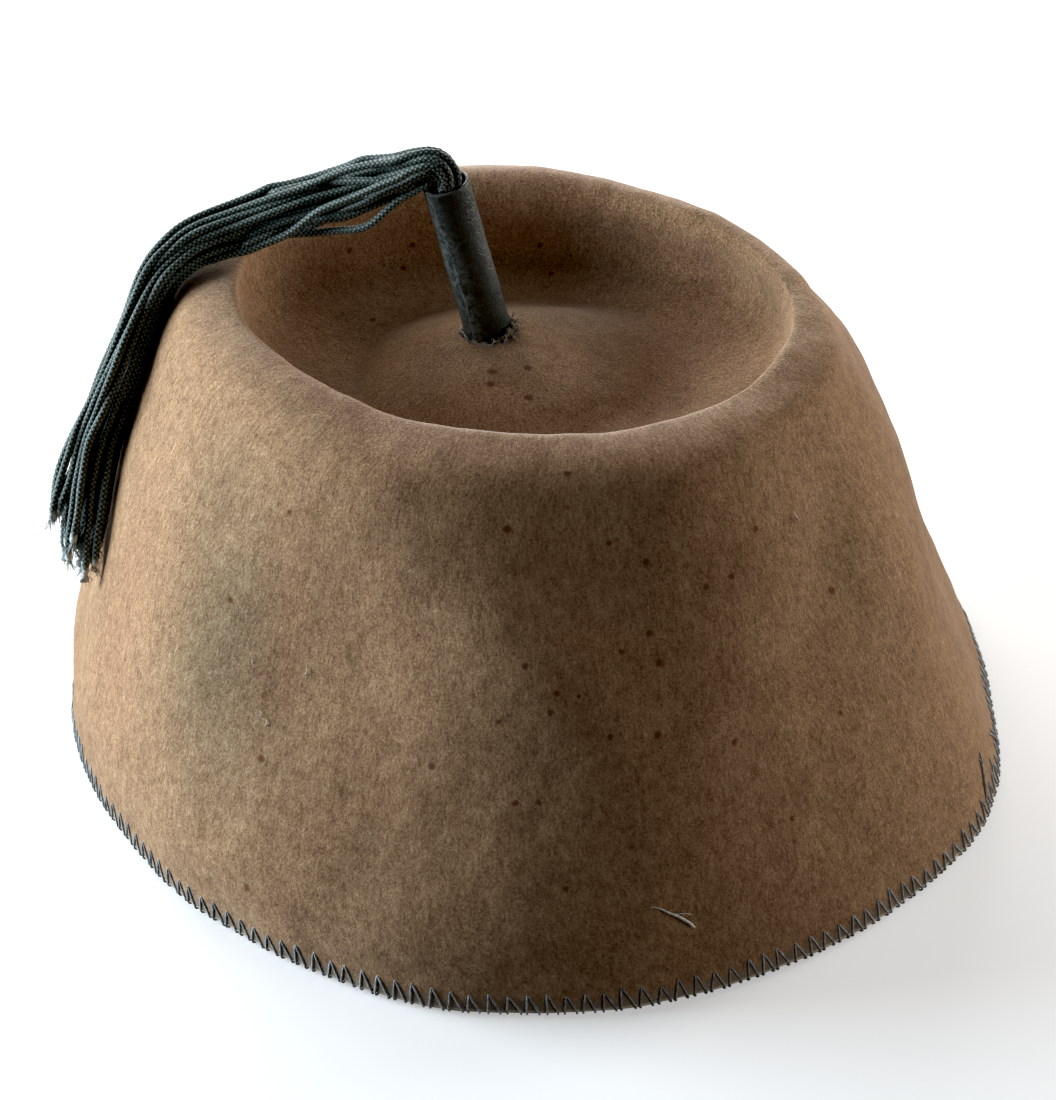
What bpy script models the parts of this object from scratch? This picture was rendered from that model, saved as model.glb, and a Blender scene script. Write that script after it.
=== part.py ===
"""Felt fez: a dished felt body, a leather tube standing in its crown, and a corded tassel that comes out of the tube and falls over one side. Metres, +Z up, the rim's cut edge on z = 0, the front towards -Y."""

import math

import bmesh
import bpy
import numpy as np
from mathutils import Matrix, Vector

MM = 0.001

# ---- driving dimensions, mm and degrees -------------------------------------
FELT_THICKNESS = 2.8
EDGE_ROUND = 0.6  # the cut edge's rounded corners
COLUMNS = 64  # round the felt
ROWS_PER_SECTION_OUT = 2
GAP = 0.3  # between pieces that touch

# Sections of the felt's outer surface, from the rim up the wall, over the
# crest, down into the dish and up the mound to the hole.
# name, height, half_x, half_y, turn, shift_x, shift_y, point, tilt_x, tilt_y
SECTIONS = (
    ("rim", 0.0, 93.3, 98.9, 8.8, -1.6, 0.0, 0.005, 0.0, 0.0),
    ("band", 16.0, 89.5, 96.9, 9.5, -4.6, 0.0, -0.002, 0.0, 0.0),
    ("low_wall", 34.0, 83.1, 90.3, 10.2, -6.2, 0.0, -0.005, 0.0, 0.0),
    ("mid_wall", 52.0, 77.1, 82.4, 17.8, -7.1, 0.0, -0.007, 0.0, 0.0),
    ("high_wall", 68.0, 69.7, 75.6, 25.4, -7.9, 0.0, -0.012, 0.0, 0.0),
    ("shoulder", 80.9, 61.8, 69.8, 36.9, -8.2, 0.0, -0.010, -0.5, -0.8),
    ("crown_turn", 87.4, 57.35, 64.4, 51.0, -6.6, -0.9, -0.002, -0.7, 0.1),
    ("crest", 89.7, 50.3, 54.5, 58.4, -5.6, -0.8, 0.0, -0.9, 0.9),
    ("lip", 86.8, 47.35, 52.3, 68.5, -4.8, -2.0, 0.0, -0.2, 0.5),
    ("dish_wall", 75.7, 46.4, 48.7, 68.0, -4.1, 0.1, 0.0, 0.5, 0.0),
    ("dish_foot", 71.4, 35.9, 34.8, 30.4, -3.4, -0.1, 0.0, -0.1, 0.2),
    ("dish_floor", 72.0, 28.9, 27.9, 32.0, -5.2, 1.2, 0.0, -0.6, 0.3),
    ("mound_side", 74.8, 20.2, 20.0, 10.0, -6.6, 2.9, 0.0, -0.3, 0.1),
    ("mound_top", 76.9, 11.5, 12.0, 0.0, -9.4, 5.0, 0.0, 0.0, 0.0),
    ("hole", 78.0, 5.1, 5.1, 0.0, -11.0, 6.6, 0.0, 0.0, 0.0),
)

# Soft folds pressed into the felt. Angles from +X towards +Y; position counts
# sections from the rim; a fold's angle shifts by slant from one section to the
# next; push is outward.
# name, angle, position, spread_angle, spread_position, slant, push
FOLDS = (
    ("rear_bulge", 30.0, 4.3, 20.0, 0.80, 0.0, 3.8),
    ("rear_crease", 20.0, 5.7, 20.0, 0.45, 0.0, -2.7),
    ("front_lobe", -95.0, 0.0, 24.0, 2.60, 0.0, 9.3),
    ("right_front_lobe", -36.0, 0.0, 17.0, 2.60, 0.0, 4.4),
    ("left_front_lobe", -140.0, 0.0, 17.0, 2.60, 0.0, 0.5),
    ("right_end", -2.0, 0.5, 12.0, 1.20, 0.0, -2.3),
    ("left_hollow", -114.3, 3.0, 11.8, 1.06, 3.0, -3.2),
    ("left_hollow_tail", -107.2, 2.4, 12.2, 1.36, -7.0, -2.8),
    ("left_swell", -141.1, 2.6, 8.7, 1.15, -6.2, 1.8),
    ("left_shoulder_swell", -116.0, 5.3, 15.0, 0.81, 7.0, 2.3),
    ("keel_top", -88.1, 3.4, 7.3, 0.57, -1.8, 1.6),
    ("keel", -84.4, 3.3, 6.6, 0.61, -6.6, 1.9),
    ("keel_foot", -86.6, 1.8, 4.9, 1.41, 7.0, 0.9),
    ("front_swell", -73.1, 2.2, 7.4, 1.25, 4.9, 2.5),
    ("right_front_swell", -61.5, 2.4, 7.8, 2.00, -0.2, 1.3),
    ("upper_hollow", -83.7, 4.8, 10.2, 0.55, -0.2, -1.7),
    ("upper_hollow_left", -99.1, 4.8, 4.6, 0.55, -5.1, -0.5),
    ("upper_right_swell", -64.6, 5.3, 5.0, 0.60, 2.6, 1.2),
    ("right_knuckle", -52.6, 4.5, 4.5, 0.94, 0.4, 0.5),
    ("right_valley", -43.2, 3.3, 5.1, 0.68, 5.4, -1.3),
    ("right_swell", -27.3, 2.5, 6.2, 1.06, 1.8, 1.2),
    ("low_valley", -53.2, 1.1, 11.8, 0.55, 0.2, -0.9),
    ("crown_left_swell", 178.0, 8.0, 18.0, 0.90, 0.0, 0.8),
    ("crown_back_left_swell", 150.0, 8.0, 18.0, 0.90, 0.0, 1.4),
    ("crown_back_pinch", 95.0, 8.5, 22.0, 0.90, 0.0, -1.3),
    ("crown_back_right_pinch", 60.0, 8.5, 22.0, 0.90, 0.0, -0.9),
    ("dish_back_right_swell", 35.0, 9.0, 22.0, 0.90, 0.0, 1.4),
    ("dish_right_pinch", 0.0, 9.3, 22.0, 0.90, 0.0, -0.5),
    ("crown_front_swell", -90.0, 8.0, 20.0, 0.80, 0.0, 1.1),
    ("crown_front_left_pinch", -150.0, 8.0, 18.0, 0.90, 0.0, -0.3),
    ("front_shoulder_swell", -90.0, 6.3, 25.0, 0.80, 0.0, 0.7),
    ("right_shoulder_swell", -45.0, 6.3, 25.0, 0.80, 0.0, 0.2),
    ("left_shoulder_fill", 178.0, 6.3, 20.0, 0.80, 0.0, 0.2),
    ("dish_floor_right_swell", 20.0, 10.5, 25.0, 0.90, 0.0, 0.3),
    ("dish_front_left_pinch", -125.0, 9.6, 20.0, 0.80, 0.0, -0.2),
    ("dish_left_pinch", 180.0, 9.3, 22.0, 0.80, 0.0, -0.8),
    ("dish_back_left_swell", 152.0, 9.3, 22.0, 0.80, 0.0, 1.0),
    ("dish_left_front_pinch", -155.0, 9.3, 20.0, 0.80, 0.0, -0.9),
    ("lip_left_swell", 180.0, 8.4, 20.0, 0.60, 0.0, 0.9),
    ("lip_left_front_pinch", -150.0, 8.4, 18.0, 0.60, 0.0, -0.25),
    ("dish_foot_left_pinch", 170.0, 10.3, 26.0, 0.80, 0.0, -1.0),
    ("lip_right_front_pinch", -30.0, 9.2, 22.0, 0.80, 0.0, -0.85),
    ("dish_back_swell", 125.0, 9.2, 22.0, 0.80, 0.0, 0.5),
)

# The leather tube: its axis runs from the foot, at the height of the hole's
# top edge, to the mouth.
TUBE_FOOT = (-11.0, 6.6, 78.0)
TUBE_MOUTH = (-18.9, 4.4, 111.0)
TUBE_RADIUS = 4.6
TUBE_WALL = 1.1
TUBE_BELOW_FOOT = 4.6
TUBE_SIDES = 32

# The bundle of cords that fills the tube and ends in a knot under the crown.
CORE_TOP = 26.5  # above the foot, along the tube's axis
# name, distance below the foot, radius
CORE_ROWS = (
    ("felt_under_side", 4.9, 3.1),
    ("knot_shoulder", 5.3, 5.2),
    ("knot_waist_top", 6.6, 6.6),
    ("knot_middle", 8.4, 7.0),
    ("knot_waist_low", 10.2, 6.4),
    ("knot_end", 11.6, 4.6),
    ("knot_tip", 12.2, 2.4),
)

# Stations along the tassel, from inside the tube to the cord ends.
# name, x, y, z, half_wide, half_deep, roll
TASSEL = (
    ("mouth", -18.9, 4.4, 111.0, 3.1, 3.1, 0.0),
    ("above_mouth", -19.1, 4.2, 112.5, 3.5, 3.5, 0.0),
    ("bend", -21.1, 4.5, 114.5, 3.7, 4.2, 0.0),
    ("over_lip", -24.3, 5.1, 113.7, 3.7, 4.2, 0.0),
    ("off_the_tube", -28.2, 6.0, 111.5, 4.5, 4.4, 0.0),
    ("first_span", -35.0, 8.3, 108.1, 5.0, 4.4, 0.0),
    ("mid_span", -42.1, 10.8, 104.4, 4.7, 4.4, 0.0),
    ("last_span", -50.2, 12.3, 100.7, 5.3, 4.6, 0.0),
    ("over_crest", -58.3, 13.1, 97.4, 4.9, 4.5, 0.0),
    ("crest_edge", -66.8, 12.3, 94.6, 4.8, 4.4, 0.0),
    ("shoulder_top", -71.1, 10.4, 92.0, 4.2, 4.4, 0.0),
    ("shoulder", -74.6, 8.0, 88.4, 3.8, 4.4, 5.0),
    ("high_wall", -77.9, 4.7, 81.9, 3.4, 4.4, 10.0),
    ("upper_fall", -81.9, 0.5, 72.7, 3.7, 4.6, 14.0),
    ("middle_fall", -85.2, -1.5, 65.1, 4.0, 4.6, 18.0),
    ("lower_fall", -88.5, -3.0, 57.9, 4.8, 4.4, 24.0),
    ("spread", -90.8, -6.5, 51.2, 5.9, 4.2, 30.0),
    ("splay", -91.6, -9.5, 45.6, 6.0, 4.2, 34.0),
    ("ends", -91.8, -12.5, 40.8, 5.6, 3.8, 36.0),
    ("last_ends", -91.2, -15.0, 35.4, 3.4, 2.6, 36.0),
)
TASSEL_MOUTH_STEP = 6.0  # how far the tassel reaches down into the tube
TASSEL_FACING = (0.0, -math.cos(math.radians(32.0)), math.sin(math.radians(32.0)))
TASSEL_SIDES = 20
TASSEL_STEPS = 3  # rings from one station to the next


# ---- helpers -----------------------------------------------------------------
def spline(rows, at):
    """Catmull-Rom through the rows, at the given row positions."""
    rows = np.asarray(rows, float)
    last = len(rows) - 2
    ends = np.vstack([2 * rows[0] - rows[1], rows, 2 * rows[-1] - rows[-2]])
    at = np.asarray(at, float)
    i = np.clip(np.floor(at).astype(int), 0, last)
    f = (at - i)[:, None]
    a, b, c, d = ends[i], ends[i + 1], ends[i + 2], ends[i + 3]
    return 0.5 * (
        2 * b + (c - a) * f + (2 * a - 5 * b + 4 * c - d) * f**2 + (3 * b - a - 3 * c + d) * f**3
    )


def felt_outer(angles, at):
    """Points of the felt's outer surface in mm, one row for each position and one column for each angle."""
    values = spline([row[1:] for row in SECTIONS], at)
    height, half_x, half_y, turn, shift_x, shift_y, point, tilt_x, tilt_y = (
        values[:, i][:, None] for i in range(9)
    )
    turned = angles[None, :] - np.radians(turn)
    radius = half_x * half_y / np.sqrt(
        (half_y * np.cos(turned)) ** 2 + (half_x * np.sin(turned)) ** 2
    )
    radius = radius * (1 + point * np.cos(4 * turned))
    for _, angle, position, spread_a, spread_p, slant, push in FOLDS:
        along = np.asarray(at)[:, None] - position
        away = (np.degrees(angles)[None, :] - angle - slant * along + 180) % 360 - 180
        radius = radius + push * np.exp(
            -0.5 * (away / spread_a) ** 2 - 0.5 * (along / spread_p) ** 2
        )
    return np.stack(
        [
            shift_x + radius * np.cos(angles),
            shift_y + radius * np.sin(angles),
            height + tilt_x * np.cos(angles) + tilt_y * np.sin(angles),
        ],
        -1,
    )


def felt_normals(angles, at):
    """Unit normals of the same surface, pointing out of the felt."""
    step_a, step_u = 0.004, 0.01
    top = len(SECTIONS) - 1
    low, high = np.clip(at - step_u, 0, top), np.clip(at + step_u, 0, top)
    along = felt_outer(angles, high) - felt_outer(angles, low)
    around = felt_outer(angles + step_a, at) - felt_outer(angles - step_a, at)
    normal = np.cross(around, along)
    return normal / np.linalg.norm(normal, axis=-1, keepdims=True)


def unit(vector):
    vector = np.asarray(vector, float)
    return vector / np.linalg.norm(vector)


def tube_axis():
    foot = np.array(TUBE_FOOT)
    return foot, unit(np.array(TUBE_MOUTH) - foot)


def tube_section(angles, heights, radius):
    """Where a cylinder of this radius round the tube's axis crosses these heights, one point for each angle."""
    foot, axis = tube_axis()
    centre = foot[None, :2] + axis[None, :2] * ((heights - foot[2]) / axis[2])[:, None]
    lean = math.atan2(axis[1], axis[0])
    long_side = radius / axis[2]
    away = angles - lean
    reach = long_side * radius / np.sqrt(
        (radius * np.cos(away)) ** 2 + (long_side * np.sin(away)) ** 2
    )
    return np.column_stack(
        [centre[:, 0] + reach * np.cos(angles), centre[:, 1] + reach * np.sin(angles), heights]
    )


def felt_rings():
    """The felt's closed surface as rings of points: up the outside, through the hole, and back down the inside."""
    angles = np.linspace(0, 2 * math.pi, COLUMNS, endpoint=False)
    top = len(SECTIONS) - 1
    outside = np.arange(0, top * ROWS_PER_SECTION_OUT) / ROWS_PER_SECTION_OUT
    rim = felt_outer(angles, np.array([0.0]))[0]
    rim_normal = felt_normals(angles, np.array([0.0]))[0]
    level = rim_normal * [1, 1, 0]
    slope = np.linalg.norm(level, axis=1, keepdims=True)
    level = level / slope
    rim_inside = rim - level * FELT_THICKNESS / slope
    first = EDGE_ROUND / SECTIONS[1][1]
    rings = [rim - level * EDGE_ROUND, felt_outer(angles, np.array([first]))[0]]
    rings += list(felt_outer(angles, outside[1:]))
    near_hole = felt_outer(angles, np.array([float(top)]))[0]
    hole_radius = TUBE_RADIUS + GAP
    rings.append(tube_section(angles, near_hole[:, 2], hole_radius))
    rings.append(tube_section(angles, near_hole[:, 2] - FELT_THICKNESS, hole_radius))
    inside = outside[1:][::-1]
    under = felt_outer(angles, inside) - FELT_THICKNESS * felt_normals(angles, inside)
    rings += list(under)
    above_rim = (
        felt_outer(angles, np.array([first]))[0] - rim + rim_inside
    )
    rings.append(above_rim)
    rings.append(rim_inside + level * EDGE_ROUND)
    return rings


def loft(rings, closed_along=False, caps=False):
    """A skin over rings that all have the same number of points, as a bmesh."""
    made = bmesh.new()
    loops = [[made.verts.new(point * MM) for point in ring] for ring in rings]
    following = loops[1:] + loops[:1] if closed_along else loops[1:]
    for low, high in zip(loops, following):
        for j in range(len(low)):
            k = (j + 1) % len(low)
            made.faces.new((low[j], low[k], high[k], high[j]))
    if caps:
        made.faces.new(loops[0][::-1])
        made.faces.new(loops[-1])
    return made


def turned(profile, sides, closed_profile=False):
    """A profile of (height, radius) pairs spun round the local Z axis."""
    made = bmesh.new()
    line = [made.verts.new((radius * MM, 0.0, height * MM)) for height, radius in profile]
    ends = line[1:] + line[:1] if closed_profile else line[1:]
    edges = [made.edges.new(pair) for pair in zip(line, ends)]
    bmesh.ops.spin(
        made,
        geom=line + edges,
        cent=(0.0, 0.0, 0.0),
        axis=(0.0, 0.0, 1.0),
        angle=2 * math.pi,
        steps=sides,
        use_merge=True,
    )
    bmesh.ops.remove_doubles(made, verts=made.verts, dist=1e-6)
    if not closed_profile:
        open_edges = [edge for edge in made.edges if edge.is_boundary]
        bmesh.ops.holes_fill(made, edges=open_edges, sides=0)
    bmesh.ops.recalc_face_normals(made, faces=made.faces)
    return made


def tassel_rings():
    """Rings of the tassel's outer form along its stations."""
    foot, axis = tube_axis()
    mouth = np.array(TASSEL[0][1:4])
    rows = [(*(mouth - axis * TASSEL_MOUTH_STEP), *TASSEL[0][4:])]
    rows += [row[1:] for row in TASSEL]
    at = np.linspace(0, len(rows) - 1, (len(rows) - 1) * TASSEL_STEPS + 1)
    values = spline(rows, at)
    centres = values[:, :3]
    along = np.gradient(centres, axis=0)
    along /= np.linalg.norm(along, axis=1, keepdims=True)
    along[0] = axis
    facing = np.array(TASSEL_FACING)
    angles = np.linspace(0, 2 * math.pi, TASSEL_SIDES, endpoint=False)
    rings = []
    for centre, direction, (wide, deep, roll) in zip(centres, along, values[:, 3:]):
        wide_side = unit(np.cross(direction, facing))
        deep_side = np.cross(direction, wide_side)
        turn = math.radians(roll)
        a = wide_side * math.cos(turn) + deep_side * math.sin(turn)
        b = deep_side * math.cos(turn) - wide_side * math.sin(turn)
        rings.append(
            centre
            + np.cos(angles)[:, None] * wide * a
            + np.sin(angles)[:, None] * deep * b
        )
    # the last ring is drawn in a little, so the end isn't a sharp disc
    end = centres[-1] + (rings[-1] - centres[-1]) * 0.7 + along[-1] * 0.9
    return rings + [end]


def centre_shift():
    """What moves the middle of the whole hat's box onto the origin."""
    points = np.concatenate(felt_rings() + tassel_rings())
    low, high = points.min(axis=0), points.max(axis=0)
    return -np.array([low[0] + high[0], low[1] + high[1], 0.0]) / 2


def material(name, colour, roughness):
    made = bpy.data.materials.new(name)
    made.use_nodes = True
    shader = made.node_tree.nodes["Principled BSDF"]
    shader.inputs["Base Color"].default_value = (*colour, 1.0)
    shader.inputs["Roughness"].default_value = roughness
    made.diffuse_color = (*colour, 1.0)
    made.roughness = roughness
    return made


def add(name, shape, paint, parent, matrix=None):
    """An object with this shape, shaded smooth but for its sharp edges."""
    mesh = bpy.data.meshes.new(name)
    shape.to_mesh(mesh)
    shape.free()
    mesh.shade_smooth()
    mesh.set_sharp_from_angle(angle=math.radians(50))
    mesh.materials.append(paint)
    made = bpy.data.objects.new(name, mesh)
    bpy.context.scene.collection.objects.link(made)
    made.parent = parent
    if matrix is not None:
        made.matrix_local = matrix
    return made


def empty(name, parent, matrix):
    made = bpy.data.objects.new(name, None)
    made.empty_display_size = 0.01
    bpy.context.scene.collection.objects.link(made)
    made.parent = parent
    made.matrix_local = matrix
    return made


# ---- the hat -------------------------------------------------------------------
for old in list(bpy.data.objects):
    bpy.data.objects.remove(old, do_unlink=True)

cord = material("tassel_cord", (0.035, 0.05, 0.055), 0.8)

# the rim's centre, and everything on it
hat = empty("hat", None, Matrix.Translation(Vector(centre_shift() * MM)))
add(
    "felt_body",
    loft(felt_rings(), closed_along=True),
    material("brown_felt", (0.30, 0.20, 0.13), 0.95),
    hat,
)
add("tassel", loft(tassel_rings(), caps=True), cord, hat)

# the tube's foot, with local Z along the tube
foot, axis = tube_axis()
lean = Vector(axis).to_track_quat("Z", "Y").to_matrix().to_4x4()
tube_foot = empty("tube_foot", hat, Matrix.Translation(Vector(foot * MM)) @ lean)
length = float(np.linalg.norm(np.array(TUBE_MOUTH) - foot))
bore = TUBE_RADIUS - TUBE_WALL
tube_profile = (
    (-TUBE_BELOW_FOOT, bore),
    (-TUBE_BELOW_FOOT, TUBE_RADIUS),
    (length - 0.4, TUBE_RADIUS),
    (length, TUBE_RADIUS - 0.35),
    (length, bore + 0.2),
    (length - 0.3, bore),
)
add(
    "stem",
    turned(tube_profile, TUBE_SIDES, closed_profile=True),
    material("dark_leather", (0.03, 0.035, 0.032), 0.45),
    tube_foot,
)
core_profile = [(-row[1], row[2]) for row in reversed(CORE_ROWS)]
core_profile.append((CORE_TOP, CORE_ROWS[0][2]))
add("tassel_core", turned(core_profile, TUBE_SIDES), cord, tube_foot)
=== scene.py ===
"""Looks of the felt fez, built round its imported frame. Lengths in the tables are millimetres and angles are degrees, in the part's own frame: +X right, +Y back, +Z up, the rim's edge on z = 0."""

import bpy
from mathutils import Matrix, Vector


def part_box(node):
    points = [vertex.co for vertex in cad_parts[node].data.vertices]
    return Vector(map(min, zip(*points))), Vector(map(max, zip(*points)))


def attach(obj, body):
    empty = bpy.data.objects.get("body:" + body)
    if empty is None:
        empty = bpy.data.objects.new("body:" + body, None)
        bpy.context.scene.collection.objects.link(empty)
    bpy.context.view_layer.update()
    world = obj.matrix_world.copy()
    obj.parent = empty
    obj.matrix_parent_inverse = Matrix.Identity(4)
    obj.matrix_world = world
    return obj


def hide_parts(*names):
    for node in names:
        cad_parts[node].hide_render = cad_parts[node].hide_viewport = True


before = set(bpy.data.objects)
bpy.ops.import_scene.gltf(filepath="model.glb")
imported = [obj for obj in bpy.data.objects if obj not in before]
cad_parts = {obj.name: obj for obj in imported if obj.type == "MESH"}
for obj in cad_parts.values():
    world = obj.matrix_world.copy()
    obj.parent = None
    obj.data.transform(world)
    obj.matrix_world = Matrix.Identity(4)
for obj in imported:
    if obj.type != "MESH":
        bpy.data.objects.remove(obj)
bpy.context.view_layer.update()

import math

import bpy
import numpy as np
from mathutils import Vector

MM = 0.001

# ---- the felt's form, as in the part ------------------------------------------
FELT_THICKNESS = 2.8
# name, height, half_x, half_y, turn, shift_x, shift_y, point, tilt_x, tilt_y
SECTIONS = (
    ("rim", 0.0, 93.3, 98.9, 8.8, -1.6, 0.0, 0.005, 0.0, 0.0),
    ("band", 16.0, 89.5, 96.9, 9.5, -4.6, 0.0, -0.002, 0.0, 0.0),
    ("low_wall", 34.0, 83.1, 90.3, 10.2, -6.2, 0.0, -0.005, 0.0, 0.0),
    ("mid_wall", 52.0, 77.1, 82.4, 17.8, -7.1, 0.0, -0.007, 0.0, 0.0),
    ("high_wall", 68.0, 69.7, 75.6, 25.4, -7.9, 0.0, -0.012, 0.0, 0.0),
    ("shoulder", 80.9, 61.8, 69.8, 36.9, -8.2, 0.0, -0.010, -0.5, -0.8),
    ("crown_turn", 87.4, 57.35, 64.4, 51.0, -6.6, -0.9, -0.002, -0.7, 0.1),
    ("crest", 89.7, 50.3, 54.5, 58.4, -5.6, -0.8, 0.0, -0.9, 0.9),
    ("lip", 86.8, 47.35, 52.3, 68.5, -4.8, -2.0, 0.0, -0.2, 0.5),
    ("dish_wall", 75.7, 46.4, 48.7, 68.0, -4.1, 0.1, 0.0, 0.5, 0.0),
    ("dish_foot", 71.4, 35.9, 34.8, 30.4, -3.4, -0.1, 0.0, -0.1, 0.2),
    ("dish_floor", 72.0, 28.9, 27.9, 32.0, -5.2, 1.2, 0.0, -0.6, 0.3),
    ("mound_side", 74.8, 20.2, 20.0, 10.0, -6.6, 2.9, 0.0, -0.3, 0.1),
    ("mound_top", 76.9, 11.5, 12.0, 0.0, -9.4, 5.0, 0.0, 0.0, 0.0),
    ("hole", 78.0, 5.1, 5.1, 0.0, -11.0, 6.6, 0.0, 0.0, 0.0),
)
# name, angle, position, spread_angle, spread_position, slant, push
FOLDS = (
    ("rear_bulge", 30.0, 4.3, 20.0, 0.80, 0.0, 3.8),
    ("rear_crease", 20.0, 5.7, 20.0, 0.45, 0.0, -2.7),
    ("front_lobe", -95.0, 0.0, 24.0, 2.60, 0.0, 9.3),
    ("right_front_lobe", -36.0, 0.0, 17.0, 2.60, 0.0, 4.4),
    ("left_front_lobe", -140.0, 0.0, 17.0, 2.60, 0.0, 0.5),
    ("right_end", -2.0, 0.5, 12.0, 1.20, 0.0, -2.3),
    ("left_hollow", -114.3, 3.0, 11.8, 1.06, 3.0, -3.2),
    ("left_hollow_tail", -107.2, 2.4, 12.2, 1.36, -7.0, -2.8),
    ("left_swell", -141.1, 2.6, 8.7, 1.15, -6.2, 1.8),
    ("left_shoulder_swell", -116.0, 5.3, 15.0, 0.81, 7.0, 2.3),
    ("keel_top", -88.1, 3.4, 7.3, 0.57, -1.8, 1.6),
    ("keel", -84.4, 3.3, 6.6, 0.61, -6.6, 1.9),
    ("keel_foot", -86.6, 1.8, 4.9, 1.41, 7.0, 0.9),
    ("front_swell", -73.1, 2.2, 7.4, 1.25, 4.9, 2.5),
    ("right_front_swell", -61.5, 2.4, 7.8, 2.00, -0.2, 1.3),
    ("upper_hollow", -83.7, 4.8, 10.2, 0.55, -0.2, -1.7),
    ("upper_hollow_left", -99.1, 4.8, 4.6, 0.55, -5.1, -0.5),
    ("upper_right_swell", -64.6, 5.3, 5.0, 0.60, 2.6, 1.2),
    ("right_knuckle", -52.6, 4.5, 4.5, 0.94, 0.4, 0.5),
    ("right_valley", -43.2, 3.3, 5.1, 0.68, 5.4, -1.3),
    ("right_swell", -27.3, 2.5, 6.2, 1.06, 1.8, 1.2),
    ("low_valley", -53.2, 1.1, 11.8, 0.55, 0.2, -0.9),
    ("crown_left_swell", 178.0, 8.0, 18.0, 0.90, 0.0, 0.8),
    ("crown_back_left_swell", 150.0, 8.0, 18.0, 0.90, 0.0, 1.4),
    ("crown_back_pinch", 95.0, 8.5, 22.0, 0.90, 0.0, -1.3),
    ("crown_back_right_pinch", 60.0, 8.5, 22.0, 0.90, 0.0, -0.9),
    ("dish_back_right_swell", 35.0, 9.0, 22.0, 0.90, 0.0, 1.4),
    ("dish_right_pinch", 0.0, 9.3, 22.0, 0.90, 0.0, -0.5),
    ("crown_front_swell", -90.0, 8.0, 20.0, 0.80, 0.0, 1.1),
    ("crown_front_left_pinch", -150.0, 8.0, 18.0, 0.90, 0.0, -0.3),
    ("front_shoulder_swell", -90.0, 6.3, 25.0, 0.80, 0.0, 0.7),
    ("right_shoulder_swell", -45.0, 6.3, 25.0, 0.80, 0.0, 0.2),
    ("left_shoulder_fill", 178.0, 6.3, 20.0, 0.80, 0.0, 0.2),
    ("dish_floor_right_swell", 20.0, 10.5, 25.0, 0.90, 0.0, 0.3),
    ("dish_front_left_pinch", -125.0, 9.6, 20.0, 0.80, 0.0, -0.2),
    ("dish_left_pinch", 180.0, 9.3, 22.0, 0.80, 0.0, -0.8),
    ("dish_back_left_swell", 152.0, 9.3, 22.0, 0.80, 0.0, 1.0),
    ("dish_left_front_pinch", -155.0, 9.3, 20.0, 0.80, 0.0, -0.9),
    ("lip_left_swell", 180.0, 8.4, 20.0, 0.60, 0.0, 0.9),
    ("lip_left_front_pinch", -150.0, 8.4, 18.0, 0.60, 0.0, -0.25),
    ("dish_foot_left_pinch", 170.0, 10.3, 26.0, 0.80, 0.0, -1.0),
    ("lip_right_front_pinch", -30.0, 9.2, 22.0, 0.80, 0.0, -0.85),
    ("dish_back_swell", 125.0, 9.2, 22.0, 0.80, 0.0, 0.5),
)
TUBE_FOOT = (-11.0, 6.6, 78.0)
TUBE_MOUTH = (-18.9, 4.4, 111.0)
TUBE_RADIUS = 4.6
GAP = 0.3
EDGE_ROUND = 0.6

# Stations along the tassel.
# name, x, y, z, half_wide, half_deep, roll
TASSEL = (
    ("mouth", -18.9, 4.4, 111.0, 3.1, 3.1, 0.0),
    ("above_mouth", -19.1, 4.2, 112.5, 3.5, 3.5, 0.0),
    ("bend", -21.1, 4.5, 114.5, 3.7, 4.2, 0.0),
    ("over_lip", -24.3, 5.1, 113.7, 3.7, 4.2, 0.0),
    ("off_the_tube", -28.2, 6.0, 111.5, 4.5, 4.4, 0.0),
    ("first_span", -35.0, 8.3, 108.1, 5.0, 4.4, 0.0),
    ("mid_span", -42.1, 10.8, 104.4, 4.7, 4.4, 0.0),
    ("last_span", -50.2, 12.3, 100.7, 5.3, 4.6, 0.0),
    ("over_crest", -58.3, 13.1, 97.4, 4.9, 4.5, 0.0),
    ("crest_edge", -66.8, 12.3, 94.6, 4.8, 4.4, 0.0),
    ("shoulder_top", -71.1, 10.4, 92.0, 4.2, 4.4, 0.0),
    ("shoulder", -74.6, 8.0, 88.4, 3.8, 4.4, 5.0),
    ("high_wall", -77.9, 4.7, 81.9, 3.4, 4.4, 10.0),
    ("upper_fall", -81.9, 0.5, 72.7, 3.7, 4.6, 14.0),
    ("middle_fall", -85.2, -1.5, 65.1, 4.0, 4.6, 18.0),
    ("lower_fall", -88.5, -3.0, 57.9, 4.8, 4.4, 24.0),
    ("spread", -90.8, -6.5, 51.2, 5.9, 4.2, 30.0),
    ("splay", -91.6, -9.5, 45.6, 6.0, 4.2, 34.0),
    ("ends", -91.8, -12.5, 40.8, 5.6, 3.8, 36.0),
    ("last_ends", -91.2, -15.0, 35.4, 3.4, 2.6, 36.0),
)
TASSEL_FACING = (0.0, -math.cos(math.radians(32.0)), math.sin(math.radians(32.0)))

# ---- the camera ------------------------------------------------------------------
CAMERA_DISTANCE = 750.0
CAMERA_ELEVATION = 31.918
CAMERA_AIM = (-3.367, 0.0, 31.854)
CAMERA_LENS = 123.2
BLACK_LEVEL = 0.006

# ---- finer looks -----------------------------------------------------------------
COLUMNS = 384  # round the felt
ROW_STEP = 1.2  # along the felt's outside
EDGE_LIFT = 0.45  # the cut edge stands this high on the stitches under it
EDGE_CORNER = 0.9

STITCH_PITCH = 3.5
STITCH_HEIGHT = 4.8
THREAD_RADIUS = 0.185

CORDS = 24
CORD_RADIUS = 0.72
CORD_STEP = 0.25
CORD_SIDES = 12
BRAID_PITCH = 1.0
BRAID_STRANDS = 4


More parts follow.
